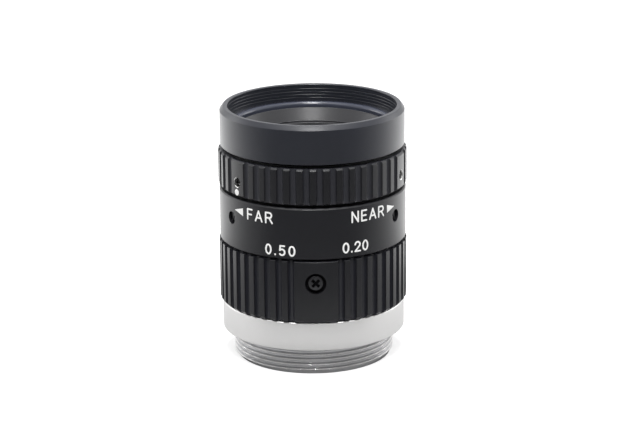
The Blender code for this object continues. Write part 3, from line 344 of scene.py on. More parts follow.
def reach(node):
    """Outer and inner radius, lowest and highest level of a round CAD node."""
    radius, height = node_points(node)
    return radius.max(), radius.min(), height.min(), height.max()


def reach_below(node, level):
    """Largest radius of a round CAD node below a level, such as its thread's crest."""
    radius, height = node_points(node)
    return radius[height < level].max()


def radii_at(node, level):
    """Largest and smallest radius of a round CAD node's points at a level."""
    radius, height = node_points(node)
    here = radius[np.abs(height - level) < EDGE]
    return here.max(), here.min()


def levels_at(node, distance):
    """Lowest and highest level of a round CAD node's points at a distance from the axis."""
    radius, height = node_points(node)
    here = height[np.abs(radius - distance) < EDGE]
    return here.min(), here.max()


def middle_and_half(values):
    """Middle of a range of values, and half its width."""
    return (values.max() + values.min()) / 2, (values.max() - values.min()) / 2


def body_of(node):
    """Name of the CAD body that holds a node."""
    for body, members in frame["record"]["behaviour"]["bodies"].items():
        if node in members:
            return body
    raise KeyError(node)


def to_mesh(name, points, faces):
    """Closed mesh of points and faces, welded, with its faces pointing out."""
    mesh = bpy.data.meshes.new(name)
    mesh.from_pydata(points, [], faces)
    shape = bmesh.new()
    shape.from_mesh(mesh)
    bmesh.ops.remove_doubles(shape, verts=shape.verts, dist=WELD)
    bmesh.ops.dissolve_degenerate(shape, edges=shape.edges, dist=WELD)
    bmesh.ops.recalc_face_normals(shape, faces=shape.faces)
    shape.to_mesh(mesh)
    shape.free()
    return mesh


def grid_faces(rows, columns, along):
    """Quads between neighbours of a grid, closed round its columns and, if asked, its rows."""
    index = np.arange(rows * columns).reshape(rows, columns)
    index = np.hstack([index, index[:, :1]])
    if along:
        index = np.vstack([index, index[:1]])
    corners = [index[:-1, :-1], index[:-1, 1:], index[1:, 1:], index[1:, :-1]]
    return np.stack(corners, -1).reshape(-1, 4)


def capped_faces(rows, columns):
    """Faces of a grid closed round its columns, with its first and last row as caps."""
    caps = [list(range(columns))[::-1], list(range((rows - 1) * columns, rows * columns))]
    return [list(face) for face in grid_faces(rows, columns, False)] + caps


def smooth(mesh, sharp):
    """Smooth faces, with sharp edges past an angle."""
    mesh.shade_smooth()
    mesh.set_sharp_from_angle(angle=math.radians(sharp))


def add_object(name, data):
    """Object at the origin, in the scene."""
    item = bpy.data.objects.new(name, data)
    bpy.context.scene.collection.objects.link(item)
    return item


def add_piece(name, points, faces, sharp=SHARP_ANGLE):
    """Piece of points and faces, smooth, with sharp edges past an angle."""
    mesh = to_mesh(name, points.reshape(-1, 3), faces)
    smooth(mesh, sharp)
    return add_object(name, mesh)


def rounded(corners, steps=4):
    """Profile whose corners (r, z, fillet) are rounded.

    Each arc touches both sides at fillet / tan(half the corner's angle) from the
    corner. A profile that starts on the axis is open, any other is closed.
    """
    points = np.array([corner[:2] for corner in corners], float)
    is_open = points[0, 0] <= 0
    made = []
    for i, corner in enumerate(corners):
        here = points[i]
        fillet = corner[2] if len(corner) > 2 else 0.0
        if fillet <= 0 or (is_open and i in (0, len(corners) - 1)):
            made.append(here[None])
            continue
        back = points[i - 1] - here
        on = points[(i + 1) % len(points)] - here
        room = FILLET_SHARE * min(np.linalg.norm(back), np.linalg.norm(on))
        back = back / np.linalg.norm(back)
        on = on / np.linalg.norm(on)
        half = math.acos(np.clip(back @ on, -1, 1)) / 2
        touch = min(fillet / math.tan(half), room)
        radius = touch * math.tan(half)
        middle = here + (back + on) / np.linalg.norm(back + on) * radius / math.sin(half)
        first = here + back * touch - middle
        last = here + on * touch - middle
        turn = math.pi - 2 * half
        share = np.linspace(0, 1, steps + 1)[:, None]
        arc = (first * np.sin((1 - share) * turn) + last * np.sin(share * turn)) / math.sin(turn)
        made.append(middle + arc)
    return np.vstack(made)


def turned_grid(profile, azimuths, limit=None):
    """Grid of a profile turned about the axis.

    Each row is a profile point, each column an azimuth: x = r sin, y = -r cos. A limit
    gives the largest radius at each azimuth and height.
    """
    turn = np.radians(azimuths)[None, :]
    radius = np.repeat(profile[:, :1], len(azimuths), 1)
    height = np.repeat(profile[:, 1:], len(azimuths), 1)
    if limit is not None:
        radius = np.minimum(radius, limit(turn, height))
    return np.stack([radius * np.sin(turn), -radius * np.cos(turn), height], -1)


def even_turns(segments):
    """Azimuths that divide the full turn evenly."""
    return np.arange(segments) * 360 / segments


def turned(name, profile, azimuths=None, limit=None, sharp=SHARP_ANGLE):
    """Piece turned from a profile, in even steps unless its azimuths are given."""
    if azimuths is None:
        azimuths = even_turns(SEGMENTS)
    grid = turned_grid(profile, azimuths, limit)
    faces = grid_faces(*grid.shape[:2], profile[0, 0] > 0)
    return add_piece(name, grid, faces, sharp)


def radial_frame(azimuth, height):
    """Matrix whose Z points out of the lens at an azimuth, X along the rim and Y up."""
    turn = math.radians(azimuth)
    out = Vector((math.sin(turn), -math.cos(turn), 0.0))
    up = Vector((0.0, 0.0, 1.0))
    placed = Matrix((up.cross(out), up, out)).transposed().to_4x4()
    placed.translation = (0.0, 0.0, height)
    return placed


def small_turned(name, profile, place, segments=SMALL_SEGMENTS):
    """Small turned piece, its axis along a radius of the lens."""
    made = turned(name, profile, even_turns(segments))
    made.data.transform(place)
    return made


def box(name, place, low, high):
    """Box between two corners of a placed frame, to cut a slot with."""
    low, high = np.array(low), np.array(high)
    signs = np.array([(x, y, z) for x in (0, 1) for y in (0, 1) for z in (0, 1)])
    faces = [(0, 1, 3, 2), (4, 6, 7, 5), (0, 4, 5, 1), (2, 3, 7, 6), (0, 2, 6, 4), (1, 5, 7, 3)]
    made = add_piece(name, low + signs * (high - low), faces)
    made.data.transform(place)
    return made


def carve(item, tools, sharp=SHARP_ANGLE, finishes=None):
    """Cuts tools out of a piece and takes the tools away.

    With two finishes, the piece has the first and what the tools uncover the second.
    """
    if finishes:
        item.data.materials.append(finishes[0])
    for tool in tools:
        step = item.modifiers.new(tool.name, "BOOLEAN")
        step.object = tool
        if finishes:
            tool.data.materials.append(finishes[1])
            step.material_mode = "TRANSFER"
    bpy.context.view_layer.update()
    depsgraph = bpy.context.evaluated_depsgraph_get()
    mesh = bpy.data.meshes.new_from_object(item.evaluated_get(depsgraph))
    item.modifiers.clear()
    item.data = mesh
    smooth(mesh, sharp)
    for tool in tools:
        bpy.data.objects.remove(tool, do_unlink=True)


def bore_tool(name, azimuth, height, radius, inner, outer, sink=0.0):
    """Round tool along a radius of the lens, between two distances from the axis.

    It flares at 45 degrees from a sink below a surface that is one millimetre inside the
    tool's outer end.
    """
    mouth = outer - MM - sink if sink else outer
    profile = np.array([(0.0, outer), (radius + outer - mouth, outer), (radius, mouth),
                        (radius, inner), (0.0, inner)])
    if not sink:
        profile = np.delete(profile, 1, 0)
    return small_turned(name, profile, radial_frame(azimuth, height))


def slot_tool(name, place, twist, half_length, width, low, high):
    """Box across a screw's axis, turned about that axis."""
    spin = place @ Matrix.Rotation(math.radians(twist), 4, "Z")
    return box(name, spin, (-half_length, -width / 2, low), (half_length, width / 2, high))


def window_tool(name, node, wall, floor, ceiling, inner, outer):
    """Tool for the window in a node's wall.

    It is a rectangle between two radii, carried along the rim over the azimuths of the
    wall's points between two levels.
    """
    points = corners_of(node)
    radius, height = node_points(node)
    edge = points[(np.abs(radius - wall) < EDGE) & (height > floor) & (height < ceiling)]
    azimuths = np.degrees(np.arctan2(edge[:, 0], -edge[:, 1]))
    low, high = edge[:, 2].min(), edge[:, 2].max()
    section = np.array([(inner, low), (outer, low), (outer, high), (inner, high)])
    turns = np.linspace(azimuths.min(), azimuths.max(), WINDOW_STEPS)
    grid = turned_grid(section, turns).swapaxes(0, 1)
    return add_piece(name, grid, capped_faces(WINDOW_STEPS, 4))


def put_finish(item, finish):
    """Gives a piece its finish, and leaves what was carved with another as it is."""
    if item.data.materials:
        item.data.materials[0] = finish
    else:
        item.data.materials.append(finish)


def attach(item, finish, node):
    """Gives a piece its finish and lets it ride on the body of a CAD node."""
    put_finish(item, finish)
    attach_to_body(item, body_of(node))


def dress(item, finish, node):
    """Attaches a piece and lets it stand for its CAD node."""
    attach(item, finish, node)
    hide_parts(node)


def thread_height(turn, height, pitch, depth):
    """Depth of a 60 degree thread below its crest, right-handed.

    It is the distance from the nearest crest in pitches, past the crest's flat, times the
    flank's slope, up to depth.
    """
    phase = height / pitch - turn / math.tau
    away = np.abs(phase - np.round(phase))
    return np.clip((away - THREAD_CREST) * pitch * THREAD_SLOPE, 0, depth)


def thread_crest():
    """Radius of the mount thread's crest."""
    return reach_below("mount_base", FLANGE_Z - UNDERCUT_WIDTH / 2)


def mount_base(finish):
    """Plated mount with real thread turns under the flange."""
    outer, bore, low, top = reach("mount_base")
    radius, height = node_points("mount_base")
    thread = thread_crest()
    undercut = thread - UNDERCUT_DEPTH
    socket = radius[(height > top - EDGE / 5) & (radius < outer - MM)].min()
    start = FLANGE_Z - UNDERCUT_WIDTH - THREAD_RUNOUT
    levels = np.linspace(start, THREAD_CHAMFER, THREAD_ROWS)
    seat = thread + SEAT_RELIEF_WIDTH
    upper = rounded([
        (bore, FLANGE_Z + SOCKET_FLOOR), (socket, FLANGE_Z + SOCKET_FLOOR),
        (socket, top, EDGE), (outer - COLLAR_TOP_CHAMFER, top),
        (outer, top - COLLAR_TOP_CHAMFER), (outer, FLANGE_Z, COLLAR_CHAMFER),
        (seat, FLANGE_Z), (seat, FLANGE_Z + SEAT_RELIEF_DEPTH),
        (undercut, FLANGE_Z + SEAT_RELIEF_DEPTH),
        (undercut, FLANGE_Z - UNDERCUT_WIDTH), (thread, start),
    ])
    turns = np.stack([np.full(THREAD_ROWS, thread), levels], -1)
    lower = np.array([(thread - THREAD_CHAMFER, low), (bore, low)])
    profile = np.vstack([upper, turns[1:], lower])

    def limit(turn, height):
        cap = np.where(height < start, thread - thread_height(turn, height, THREAD_PITCH,
                                                              THREAD_DEPTH), 1.0)
        return np.broadcast_to(cap, height.shape)

    item = turned("mount_base_turned", profile, even_turns(THREAD_SEGMENTS), limit,
                  THREAD_SHARP)
    dress(item, finish, "mount_base")


def groove_outline(azimuths, positions, radius, width, depth, panels):
    """Plan outline of a grooved ring as azimuths and radii.

    A groove is a circle of the tool's radius centred at radius - depth + tool radius.
    It meets the ring's circle directly, or by straight sides where the centre lies
    inside the ring. Between grooves the outline is the ring's own circle.
    """
    tool = width / 2
    centre = radius - depth + tool
    if centre < radius:
        side = tool
        level = math.sqrt(radius ** 2 - side ** 2)
    else:
        level = (radius ** 2 + centre ** 2 - tool ** 2) / (2 * centre)
        side = math.sqrt(radius ** 2 - level ** 2)
    sweep = math.asin(side / tool) * np.linspace(-1, 1, GROOVE_STEPS + 2)[1:-1]
    floor = np.stack([tool * np.sin(sweep), centre - tool * np.cos(sweep)], -1)
    crest = side + GROOVE_EDGE
    shoulder = (crest, math.sqrt(radius ** 2 - crest ** 2))
    corners = [(-shoulder[0], shoulder[1]), (-side, level, GROOVE_EDGE), *map(tuple, floor),
               (side, level, GROOVE_EDGE), shoulder]
    across, out = rounded(corners, 3).T
    local = np.degrees(np.arctan2(across, out))
    local_radius = np.hypot(across, out)
    pitch = 360 / positions
    edge = local[-1]
    turns, radii = [], []
    for azimuth in azimuths:
        turns.append(azimuth + local)
        radii.append(local_radius)
        pitches = panels.get(round(azimuth, 3), 1)
        steps = PANEL_STEPS if pitches > 1 else CREST_STEPS
        crest_turns = np.linspace(edge, pitches * pitch - edge, steps + 2)[1:-1]
        turns.append(azimuth + crest_turns)
        radii.append(np.full(steps, radius))
    return np.concatenate(turns), np.concatenate(radii)


def grooved(node, azimuths, panels, positions, width, depth, chamfer_top, chamfer_low):
    """Grooved ring: a chamfered section turned to the plan outline's radius at most."""
    outer, bore, low, top = reach(node)
    profile = rounded([
        (bore, top, EDGE), (outer - chamfer_top, top, EDGE),
        (outer, top - chamfer_top, EDGE), (outer, low + chamfer_low, EDGE),
        (outer - chamfer_low, low, EDGE), (bore, low, EDGE),
    ], 3)
    turns, radii = groove_outline(azimuths, positions, outer, width, depth, panels)

    def limit(turn, height):
        return np.broadcast_to(radii[None, :], height.shape)

    return turned(f"{node}_grooved", profile, turns, limit, RING_SHARP)


def iris_ring(finish, screw_finish, painted_shade_finish):
    """Deeply grooved iris ring, its plain panel and the sunk cross-recess screw."""
    outer, bore, _, _ = reach("iris_ring")
    pitch = 360 / IRIS_POSITIONS
    first = (IRIS_PANEL_SKIPS + 1) // 2
    azimuths = [IRIS_PANEL_AZIMUTH + i * pitch for i in range(first, IRIS_POSITIONS - first + 1)]
    panels = {round(azimuths[-1], 3): IRIS_PANEL_SKIPS + 1}
    ring = grooved("iris_ring", azimuths, panels, IRIS_POSITIONS, IRIS_GROOVE_WIDTH,
                   IRIS_GROOVE_DEPTH, IRIS_CHAMFER_TOP, IRIS_CHAMFER_LOW)
    screw_low, screw_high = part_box("iris_screw")
    level = (screw_low.z + screw_high.z) / 2
    head = (screw_high.z - screw_low.z) / 2
    face = outer - IRIS_SCREW_RECESS
    seat = face - HEAD_HEIGHT - HOLE_GAP
    tools = [
        bore_tool("counterbore", IRIS_SCREW_AZIMUTH, level, IRIS_COUNTERBORE, seat, outer + MM),
        bore_tool("screw_hole", IRIS_SCREW_AZIMUTH, level, SHANK_RADIUS + HOLE_GAP,
                  bore - MM, seat + EDGE), ]
    # The counterbore's and screw hole's faces take the painted shade finish.
    carve(ring, tools, RING_SHARP, (finish, painted_shade_finish))
    dress(ring, finish, "iris_ring")

    tip = node_points("iris_screw")[0].min()
    place = radial_frame(IRIS_SCREW_AZIMUTH, level)
    profile = rounded([
        (0.0, face + HEAD_CROWN),
        (head * HEAD_BEND, face + HEAD_BEND_RISE, head),
        (head, face - HEAD_DROP, SOFT_EDGE), (head, face - HEAD_HEIGHT, EDGE),
        (SHANK_RADIUS, face - HEAD_HEIGHT), (SHANK_RADIUS, tip), (0.0, tip),
    ], 5)
    screw = small_turned("iris_screw_cross_recess", profile, place, 2 * SMALL_SEGMENTS)
    crosses = [slot_tool(f"cross_{twist}", place, twist, CROSS_LENGTH / 2, CROSS_WIDTH,
                         face - CROSS_DEPTH, face + MM) for twist in CROSS_TWISTS]
    # The cross recess takes the painted shade finish too.
    carve(screw, crosses, SCREW_SHARP, (screw_finish, painted_shade_finish))
    dress(screw, screw_finish, "iris_screw")


def focus_ring(finish, screw_finish, bare_finish):
    """Finely grooved focus ring with three plain panels, each with a grub screw."""
    outer, bore, _, _ = reach("focus_ring")
    pitch = 360 / FOCUS_POSITIONS
    per_panel = FOCUS_POSITIONS // FOCUS_PANELS
    azimuths = [FOCUS_PANEL_AZIMUTH + i * pitch for i in range(FOCUS_POSITIONS) if i % per_panel]
    panels = {round(azimuth, 3): 2 for i, azimuth in enumerate(azimuths, 1)
              if i % (per_panel - 1) == 0}
    ring = grooved("focus_ring", azimuths, panels, FOCUS_POSITIONS, FOCUS_GROOVE_WIDTH,
                   FOCUS_GROOVE_DEPTH, FOCUS_CHAMFER, FOCUS_CHAMFER)
    tools = []
    for index in range(FOCUS_PANELS):
        node = f"focus_grub_screw_{index + 1}"
        azimuth = FOCUS_PANEL_AZIMUTH + 360 / FOCUS_PANELS * index
        level, half = middle_and_half(node_points(node)[1])
        tools.append(bore_tool(f"grub_hole_{index}", azimuth, level, half + HOLE_GAP,
                               bore - MM, outer + MM, GRUB_SINK))
        slotted_screw(node, azimuth, GRUB_SLOT_TWIST + SLOT_TWIST_STEP * index, screw_finish)
    carve(ring, tools, RING_SHARP, (finish, bare_finish))
    dress(ring, finish, "focus_ring")


def slotted_screw(node, azimuth, twist, finish, has_foot=False):
    """Slotted screw on a radius, in a CAD screw's place.

    It is a chamfered cylinder with a slot across its end, and a thinner foot if asked.
    """
    radius, height = node_points(node)
    level, half = middle_and_half(height)
    away = np.abs(height - level)
    inner, outer = radius.min(), radius.max()
    waist = radius[away > half - EDGE].min() if has_foot else inner
    corners = [(0.0, outer), (half, outer, 2 * EDGE), (half, waist, EDGE)]
    if has_foot:
        foot = away[radius < waist - EDGE].max()
        corners += [(foot, waist), (foot, inner, EDGE)]
    place = radial_frame(azimuth, level)
    screw = small_turned(f"{node}_slotted", rounded([*corners, (0.0, inner)]), place)
    slot = slot_tool(f"{node}_slot", place, twist, half + MM, SLOT_WIDTH, outer - SLOT_DEPTH,
                     outer + MM)
    carve(screw, [slot], SCREW_SHARP)
    dress(screw, finish, node)


def main_barrel(finish):
    """Fixed barrel: printed band, neck and tail, with the guide screws' holes."""
    node = "main_barrel"
    outer, tail_bore, low, top = reach(node)
    band_low = levels_at(node, outer)[0] - BARREL_CHAMFER
    neck = reach_below(node, band_low - MM)
    neck_low = levels_at(node, neck)[0]
    tail = reach_below(node, neck_low - EDGE)
    shoulder = levels_at(node, tail_bore)[1]
    counterbore = radii_at(node, top)[1]
    radius, height = node_points(node)
    bore = radius[height > shoulder + EDGE].min()
    floor = levels_at(node, bore)[1]
    profile = rounded([
        (counterbore, top, EDGE), (outer - BARREL_CHAMFER, top, EDGE / 2),
        (outer, top - BARREL_CHAMFER, EDGE / 2),
        (outer, band_low + BARREL_CHAMFER, EDGE / 2),
        (outer - BARREL_CHAMFER, band_low, EDGE / 2), (neck, band_low),
        (neck, neck_low), (tail, neck_low), (tail, low, EDGE),
        (tail_bore, low, EDGE), (tail_bore, shoulder), (bore, shoulder),
        (bore, floor), (counterbore, floor),
    ], 3)
    barrel = turned("main_barrel_turned", profile)
    tools = [window_tool("iris_window", node, bore, shoulder + EDGE, band_low - EDGE,
                         bore - EDGE, neck + EDGE)]
    for index in range(GUIDE_SCREWS):
        low_z, high_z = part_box(f"guide_screw_{index + 1}")
        half = (high_z.z - low_z.z) / 2
        tools.append(bore_tool(f"guide_hole_{index}", GUIDE_AZIMUTH + 360 / GUIDE_SCREWS * index,
                               (low_z.z + high_z.z) / 2, half + HOLE_GAP,
                               counterbore - MM / 4, outer + MM))
    carve(barrel, tools)
    dress(barrel, finish, node)


def guide_screws(finish):
    """Slotted guide screws, sunk in their holes in the barrel."""
    for index in range(GUIDE_SCREWS):
        slotted_screw(f"guide_screw_{index + 1}", GUIDE_AZIMUTH + 360 / GUIDE_SCREWS * index,
                      GUIDE_SLOT_TWIST + SLOT_TWIST_STEP * index, finish, True)


def front_bezel(finish):
    """Front ring with its chamfered rim, the filter thread and the rounded lip."""
    outer, bore, low, top = reach("front_bezel")
    mouth = outer - MOUTH_WALL
    lip_top = top - MOUTH_DEPTH
    lip_low = lip_top - LIP_HEIGHT
    socket = reach("lens_barrel")[0] + BEZEL_GAP
    rise = mouth - LIP_FLAT - bore
    turn = np.radians(np.linspace(0, 90, LIP_STEPS))
    lip = np.stack([bore + rise * (1 - np.cos(turn)),
                    lip_top - LIP_ROUND * (1 - np.sin(turn))], -1)
    rim = rounded([
        (mouth, top, MOUTH_CHAMFER),
        (outer - BEZEL_CHAMFER_WIDTH, top, SOFT_EDGE),
        (outer, top - BEZEL_CHAMFER_HEIGHT, SOFT_EDGE),
        (outer, low, BEZEL_EDGE), (socket, low), (socket, lip_low),
        (bore, lip_low), (bore, lip_top),
    ])[:-1]
    levels = np.linspace(lip_top, top - MOUTH_CHAMFER, FILTER_ROWS + 1)
    wall = np.stack([np.full(FILTER_ROWS + 1, mouth), levels], -1)
    profile = np.vstack([rim, lip, wall[:-1]])
    grid = turned_grid(profile, even_turns(SEGMENTS))
    turns = np.arctan2(grid[..., 0], -grid[..., 1])
    level = grid[..., 2]
    inside = np.zeros(len(profile), bool)
    inside[len(rim) + len(lip) + FILTER_FOOT_ROWS:-FILTER_TOP_ROWS] = True
    depth = FILTER_DEPTH - thread_height(turns, level, FILTER_PITCH, FILTER_DEPTH)
    depth = np.where(inside[:, None], depth, 0.0)
    grow = 1 + depth / np.hypot(grid[..., 0], grid[..., 1])
    grid[..., :2] *= grow[..., None]
    bezel = add_piece("front_bezel_turned", grid, grid_faces(*grid.shape[:2], True),
                      THREAD_SHARP)
    dress(bezel, finish, "front_bezel")


def lens_barrel(finish):
    """Sliding barrel: the cone round the glass, its fine steps and the lens seats."""
    node = "lens_barrel"
    outer, bore, low, top = reach(node)
    radius, height = node_points(node)
    cell, cone_top = radii_at(node, top)
    shoulder = levels_at(node, outer)[1]
    cone_foot = top - CONE_HEIGHT
    foot_radius, front = radii_at(node, cone_foot)
    seats = np.unique(np.round(height[radius < front + EDGE], 6))
    chamber = radii_at(node, low)[1]
    chamber_top = seats[seats < seats.max() - MM].min()
    second_seat = seats[seats > chamber_top + MM][0]
    front_seat = seats[seats > second_seat + MM][0]
    second = radii_at(node, second_seat)[0]
    profile = rounded([
        (cone_top, top, EDGE), (cell, top, EDGE), (cell, shoulder),
        (outer, shoulder, EDGE), (outer, low, EDGE), (chamber, low, EDGE),
        (chamber, chamber_top), (bore, chamber_top), (bore, second_seat),
        (second, second_seat), (second, front_seat), (front, front_seat),
        (front, cone_foot, EDGE / 2), (foot_radius, cone_foot, EDGE / 2),
    ])
    barrel = turned("lens_barrel_turned", profile)
    pin_radius, pin_height = node_points("guide_pin")
    side = middle_and_half(pin_height)[1] + HOLE_GAP
    tools = [
        window_tool("drive_window", node, chamber, low + EDGE, chamber_top - EDGE,
                    chamber - EDGE, outer + EDGE),
        box("key_way", radial_frame(PIN_AZIMUTH, 0.0),
            (-side, pin_height.min() - FOCUS_TRAVEL - HOLE_GAP, pin_radius.min() - HOLE_GAP),
            (side, pin_height.max() + HOLE_GAP, outer + MM)),
    ]
    carve(barrel, tools)
    dress(barrel, finish, node)


def plain_ring(node, finish, notch):
    """Ring between a node's inner and outer radius.

    Two notches lie across its upper face if notch is 1, across its lower face if -1.
    """
    outer, inner, low, top = reach(node)
    ring = turned(f"{node}_turned", rounded([
        (inner, top, EDGE), (outer, top, EDGE), (outer, low, EDGE),
        (inner, low, EDGE),
    ], 2))
    if notch:
        across = outer + MM
        level = top if notch > 0 else low
        tool = box(f"{node}_notch", Matrix.Identity(4),
                   (-across, -NOTCH_HALF, level - NOTCH_DEPTH),
                   (across, NOTCH_HALF, level + NOTCH_DEPTH))
        carve(ring, [tool])
    dress(ring, finish, node)


def lens_element(node, finish, edge_finish):
    """Lens element: two spherical faces, and blackened ground faces between them.

    Each face's curvature is (radius squared + rise squared) / twice its rise.
    """
    radius, height = node_points(node)
    outer = radius.max()
    edge = height[radius > outer - EDGE]
    rim = radius[np.abs(height - edge.min()) < EDGE / 5].min()
    axis = height[radius < EDGE]
    share = np.linspace(0, 1, LENS_ROWS)

    def face(reach_out, start, tip):
        rise = abs(tip - start)
        curvature = (reach_out ** 2 + rise ** 2) / (2 * rise)
        r = reach_out * share
        fall = curvature - np.sqrt(curvature ** 2 - r ** 2)
        return np.stack([r, tip - math.copysign(1, tip - start) * fall], -1)

    upper = face(outer, edge.max(), axis.max())
    lower = face(rim, edge.min(), axis.min())[::-1]
    profile = np.vstack([upper, (outer, edge.min()), lower])
    item = turned(f"{node}_polished", profile, sharp=GLASS_SHARP)
    middles = np.empty(len(item.data.polygons) * 3, np.float32)
    item.data.polygons.foreach_get("center", middles)
    x, y, z = middles.reshape(-1, 3).T
    ground = ((z > edge.min() - EDGE / 50) & (z < edge.max() + EDGE / 50)
              & (np.hypot(x, y) > rim * GROUND_FROM))
    dress(item, finish, node)
    item.data.materials.append(edge_finish)
    item.data.polygons.foreach_set("material_index", ground.astype(np.int32))


def rear_cell(finish):
    """Rear cell: flange, tube and the bore that seats the rear elements."""
    node = "rear_lens_cell"
    outer, lip, low, top = reach(node)
    tube, bore = radii_at(node, low)
    flange = levels_at(node, outer)[0]
    seat = levels_at(node, lip)[0]
    item = turned("rear_lens_cell_turned", rounded([
        (lip, top, EDGE), (outer, top, EDGE), (outer, flange, EDGE),
        (tube, flange), (tube, low, SOFT_EDGE), (bore, low, SOFT_EDGE),
        (bore, seat), (lip, seat, EDGE),
    ]))
    dress(item, finish, node)


def paint_stroke(path, half_widths, radius, azimuth, level):
    """One stroke of paint on the barrel: a flat ellipse carried along a path.

    The path's first coordinate runs along the rim and its second up. Its points turn
    about the axis by distance over radius, and the ellipse stands out along the radius.
    """
    path = np.asarray(path, float)
    step = np.gradient(path, axis=0)
    step /= np.linalg.norm(step, axis=1)[:, None] + 1e-12
    side = np.stack([-step[:, 1], step[:, 0]], -1)
    turn = np.linspace(0, math.tau, PRINT_RING, endpoint=False)
    wide = np.asarray(half_widths)[:, None] * np.cos(turn)[None, :]
    flat = path[:, None, :] + side[:, None, :] * wide[..., None]
    out = radius + PRINT_THICKNESS * np.sin(turn)[None, :] * np.ones_like(wide)
    around = np.radians(azimuth) + flat[..., 0] / radius
    grid = np.stack([out * np.sin(around), -out * np.cos(around), level + flat[..., 1]], -1)
    return grid.reshape(-1, 3), capped_faces(len(path), PRINT_RING)


def pen(points):
    """Round-ended pen stroke along points: its path and its half widths.

    They fall to nothing over the last half stroke as the square root of 1 - t squared.
    """
    points = np.asarray(points, float)
    half = PRINT_STROKE / 2
    lead = points[0] - points[1]
    lead /= np.linalg.norm(lead)
    tail = points[-1] - points[-2]
    tail /= np.linalg.norm(tail)
    away = np.sin(np.radians(np.linspace(*PEN_END_TURNS)))
    first = points[0] + lead * half * away[:, None]
    last = points[-1] + tail * half * away[::-1, None]
    width = half * np.sqrt(1 - away ** 2)
    path = np.vstack([first, points, last])
    widths = np.concatenate([width, np.full(len(points), half), width[::-1]])
    return path, widths


def paint(name, strokes, radius, azimuth, level, finish, node="main_barrel"):
    """Piece made of several strokes of paint, each a closed body."""
    points, faces, count = [], [], 0
    for path, widths in strokes:
        new_points, new_faces = paint_stroke(path, widths, radius, azimuth, level)
        points.append(new_points)
        faces += [[i + count for i in face] for face in new_faces]
        count += len(new_points)
    item = add_piece(name, np.vstack(points), faces, PRINT_SHARP)
    attach(item, finish, node)


def line(*points):
    """Straight pen strokes between points, each one on its own."""
    return [np.array([a, b], float) for a, b in zip(points[:-1], points[1:])]


def bow(x, y, across, up, start, end, count=20):
    """Points on an ellipse about (x, y), angles in degrees."""
    turn = np.radians(np.linspace(start, end, count))
    return [np.stack([x + across * np.cos(turn), y + up * np.sin(turn)], -1)]


GLYPHS = {
    "F": (0.56, line((0.56, 1), (0, 1), (0, 0)) + line((0, 0.5), (0.48, 0.5))),
    "A": (0.74, line((0, 0), (0.37, 1), (0.74, 0)) + line((0.13, 0.32), (0.61, 0.32))),
    "R": (0.68, line((0.38, 1), (0, 1), (0, 0)) + bow(0.38, 0.745, 0.25, 0.255, 90, -90)
          + line((0.38, 0.49), (0, 0.49)) + line((0.36, 0.49), (0.68, 0))),
    "N": (0.64, line((0, 0), (0, 1), (0.64, 0), (0.64, 1))),
    "E": (0.53, line((0.53, 0), (0, 0), (0, 1), (0.53, 1)) + line((0, 0.51), (0.46, 0.51))),
    "0": (0.58, bow(0.29, 0.5, 0.29, 0.5, 0, 360, 40)),
    "5": (0.6, line((0.54, 1), (0.1, 1), (0.05, 0.55))
          + bow(0.28, 0.32, 0.3, 0.32, 140, -140)),
    "2": (0.6, bow(0.3, 0.72, 0.28, 0.28, 175, -35) + line((0.53, 0.56), (0.02, 0))
          + line((0.02, 0), (0.6, 0))),
    ".": (0.04, line((0.02, 0), (0.02, 0.03))),
}


def paint_word(name, text, start, end, level, tall, radius, finish):
    """Word in pen strokes between two azimuths, its middle at a level."""
    scale = tall - PRINT_STROKE
    widths = [GLYPHS[letter][0] * scale for letter in text]
    room = math.radians(end - start) * radius - PRINT_STROKE
    gap = (room - sum(widths)) / (len(text) - 1)
    x = -room / 2
    strokes = []
    for letter, width in zip(text, widths):
        for points in GLYPHS[letter][1]:
            placed = points * scale + np.array([x, -scale / 2])
            strokes.append(pen(placed))
        x += width + gap
    paint(name, strokes, radius, (start + end) / 2, level, finish)


def paint_arrow(name, tip, base, level, tall, radius, finish):
    """Solid arrowhead: half widths fall evenly from the base to the tip."""
    length = math.radians(tip - base) * radius
    share = np.linspace(0, 1, ARROW_STEPS)
    path = np.stack([length * (share - 0.5), np.zeros_like(share)], -1)
    widths = tall / 2 * (1 - share) + ARROW_POINT
    paint(name, [(path, widths)], radius, (tip + base) / 2, level, finish)


def paint_dot(name, azimuth, level, across, radius, finish, node):
    """Round index dot: half widths follow a circle."""
    turn = np.radians(np.linspace(*DOT_TURNS))
    path = np.stack([-np.cos(turn) * across / 2, np.zeros_like(turn)], -1)
    paint(name, [(path, np.sin(turn) * across / 2)], radius, azimuth, level, finish, node)


def put(socket, value):
    """Gives a socket another node's output, or a number or colour of its own."""
    if isinstance(value, bpy.types.NodeSocket):
        socket.id_data.links.new(value, socket)
    else:
        socket.default_value = value


def put_all(node, inputs):
    """Gives a node's inputs their values, by name."""
    for name, value in inputs.items():
        put(node.inputs[name.replace("_", " ")], value)


def principled(name, colour, roughness, metallic=0.0, **inputs):
    """Principled material and its shader; constants sit on the shader's own sockets."""
    made = bpy.data.materials.new(name)
    made.use_nodes = True
    shader = made.node_tree.nodes["Principled BSDF"]
    put_all(shader, {"Base Color": (*colour, 1.0), "Roughness": roughness,
                     "Metallic": metallic, **inputs})
    return made, shader


def add_node(near, kind, **inputs):
    """Node in the tree of a node or socket, with some of its inputs given by name."""
    node = near.id_data.nodes.new(kind)
    put_all(node, inputs)
    return node


def axes_of(vector):
    """The three parts of a vector."""
    return add_node(vector, "ShaderNodeSeparateXYZ", Vector=vector).outputs


def vector_math(operation, vector):
    """Length or direction of a vector."""
    node = add_node(vector, "ShaderNodeVectorMath")
    node.operation = operation
    put(node.inputs[0], vector)
    return node.outputs


def coordinates(near, kind):
    """Coordinates of one kind."""
    return add_node(near, "ShaderNodeTexCoord").outputs[kind]


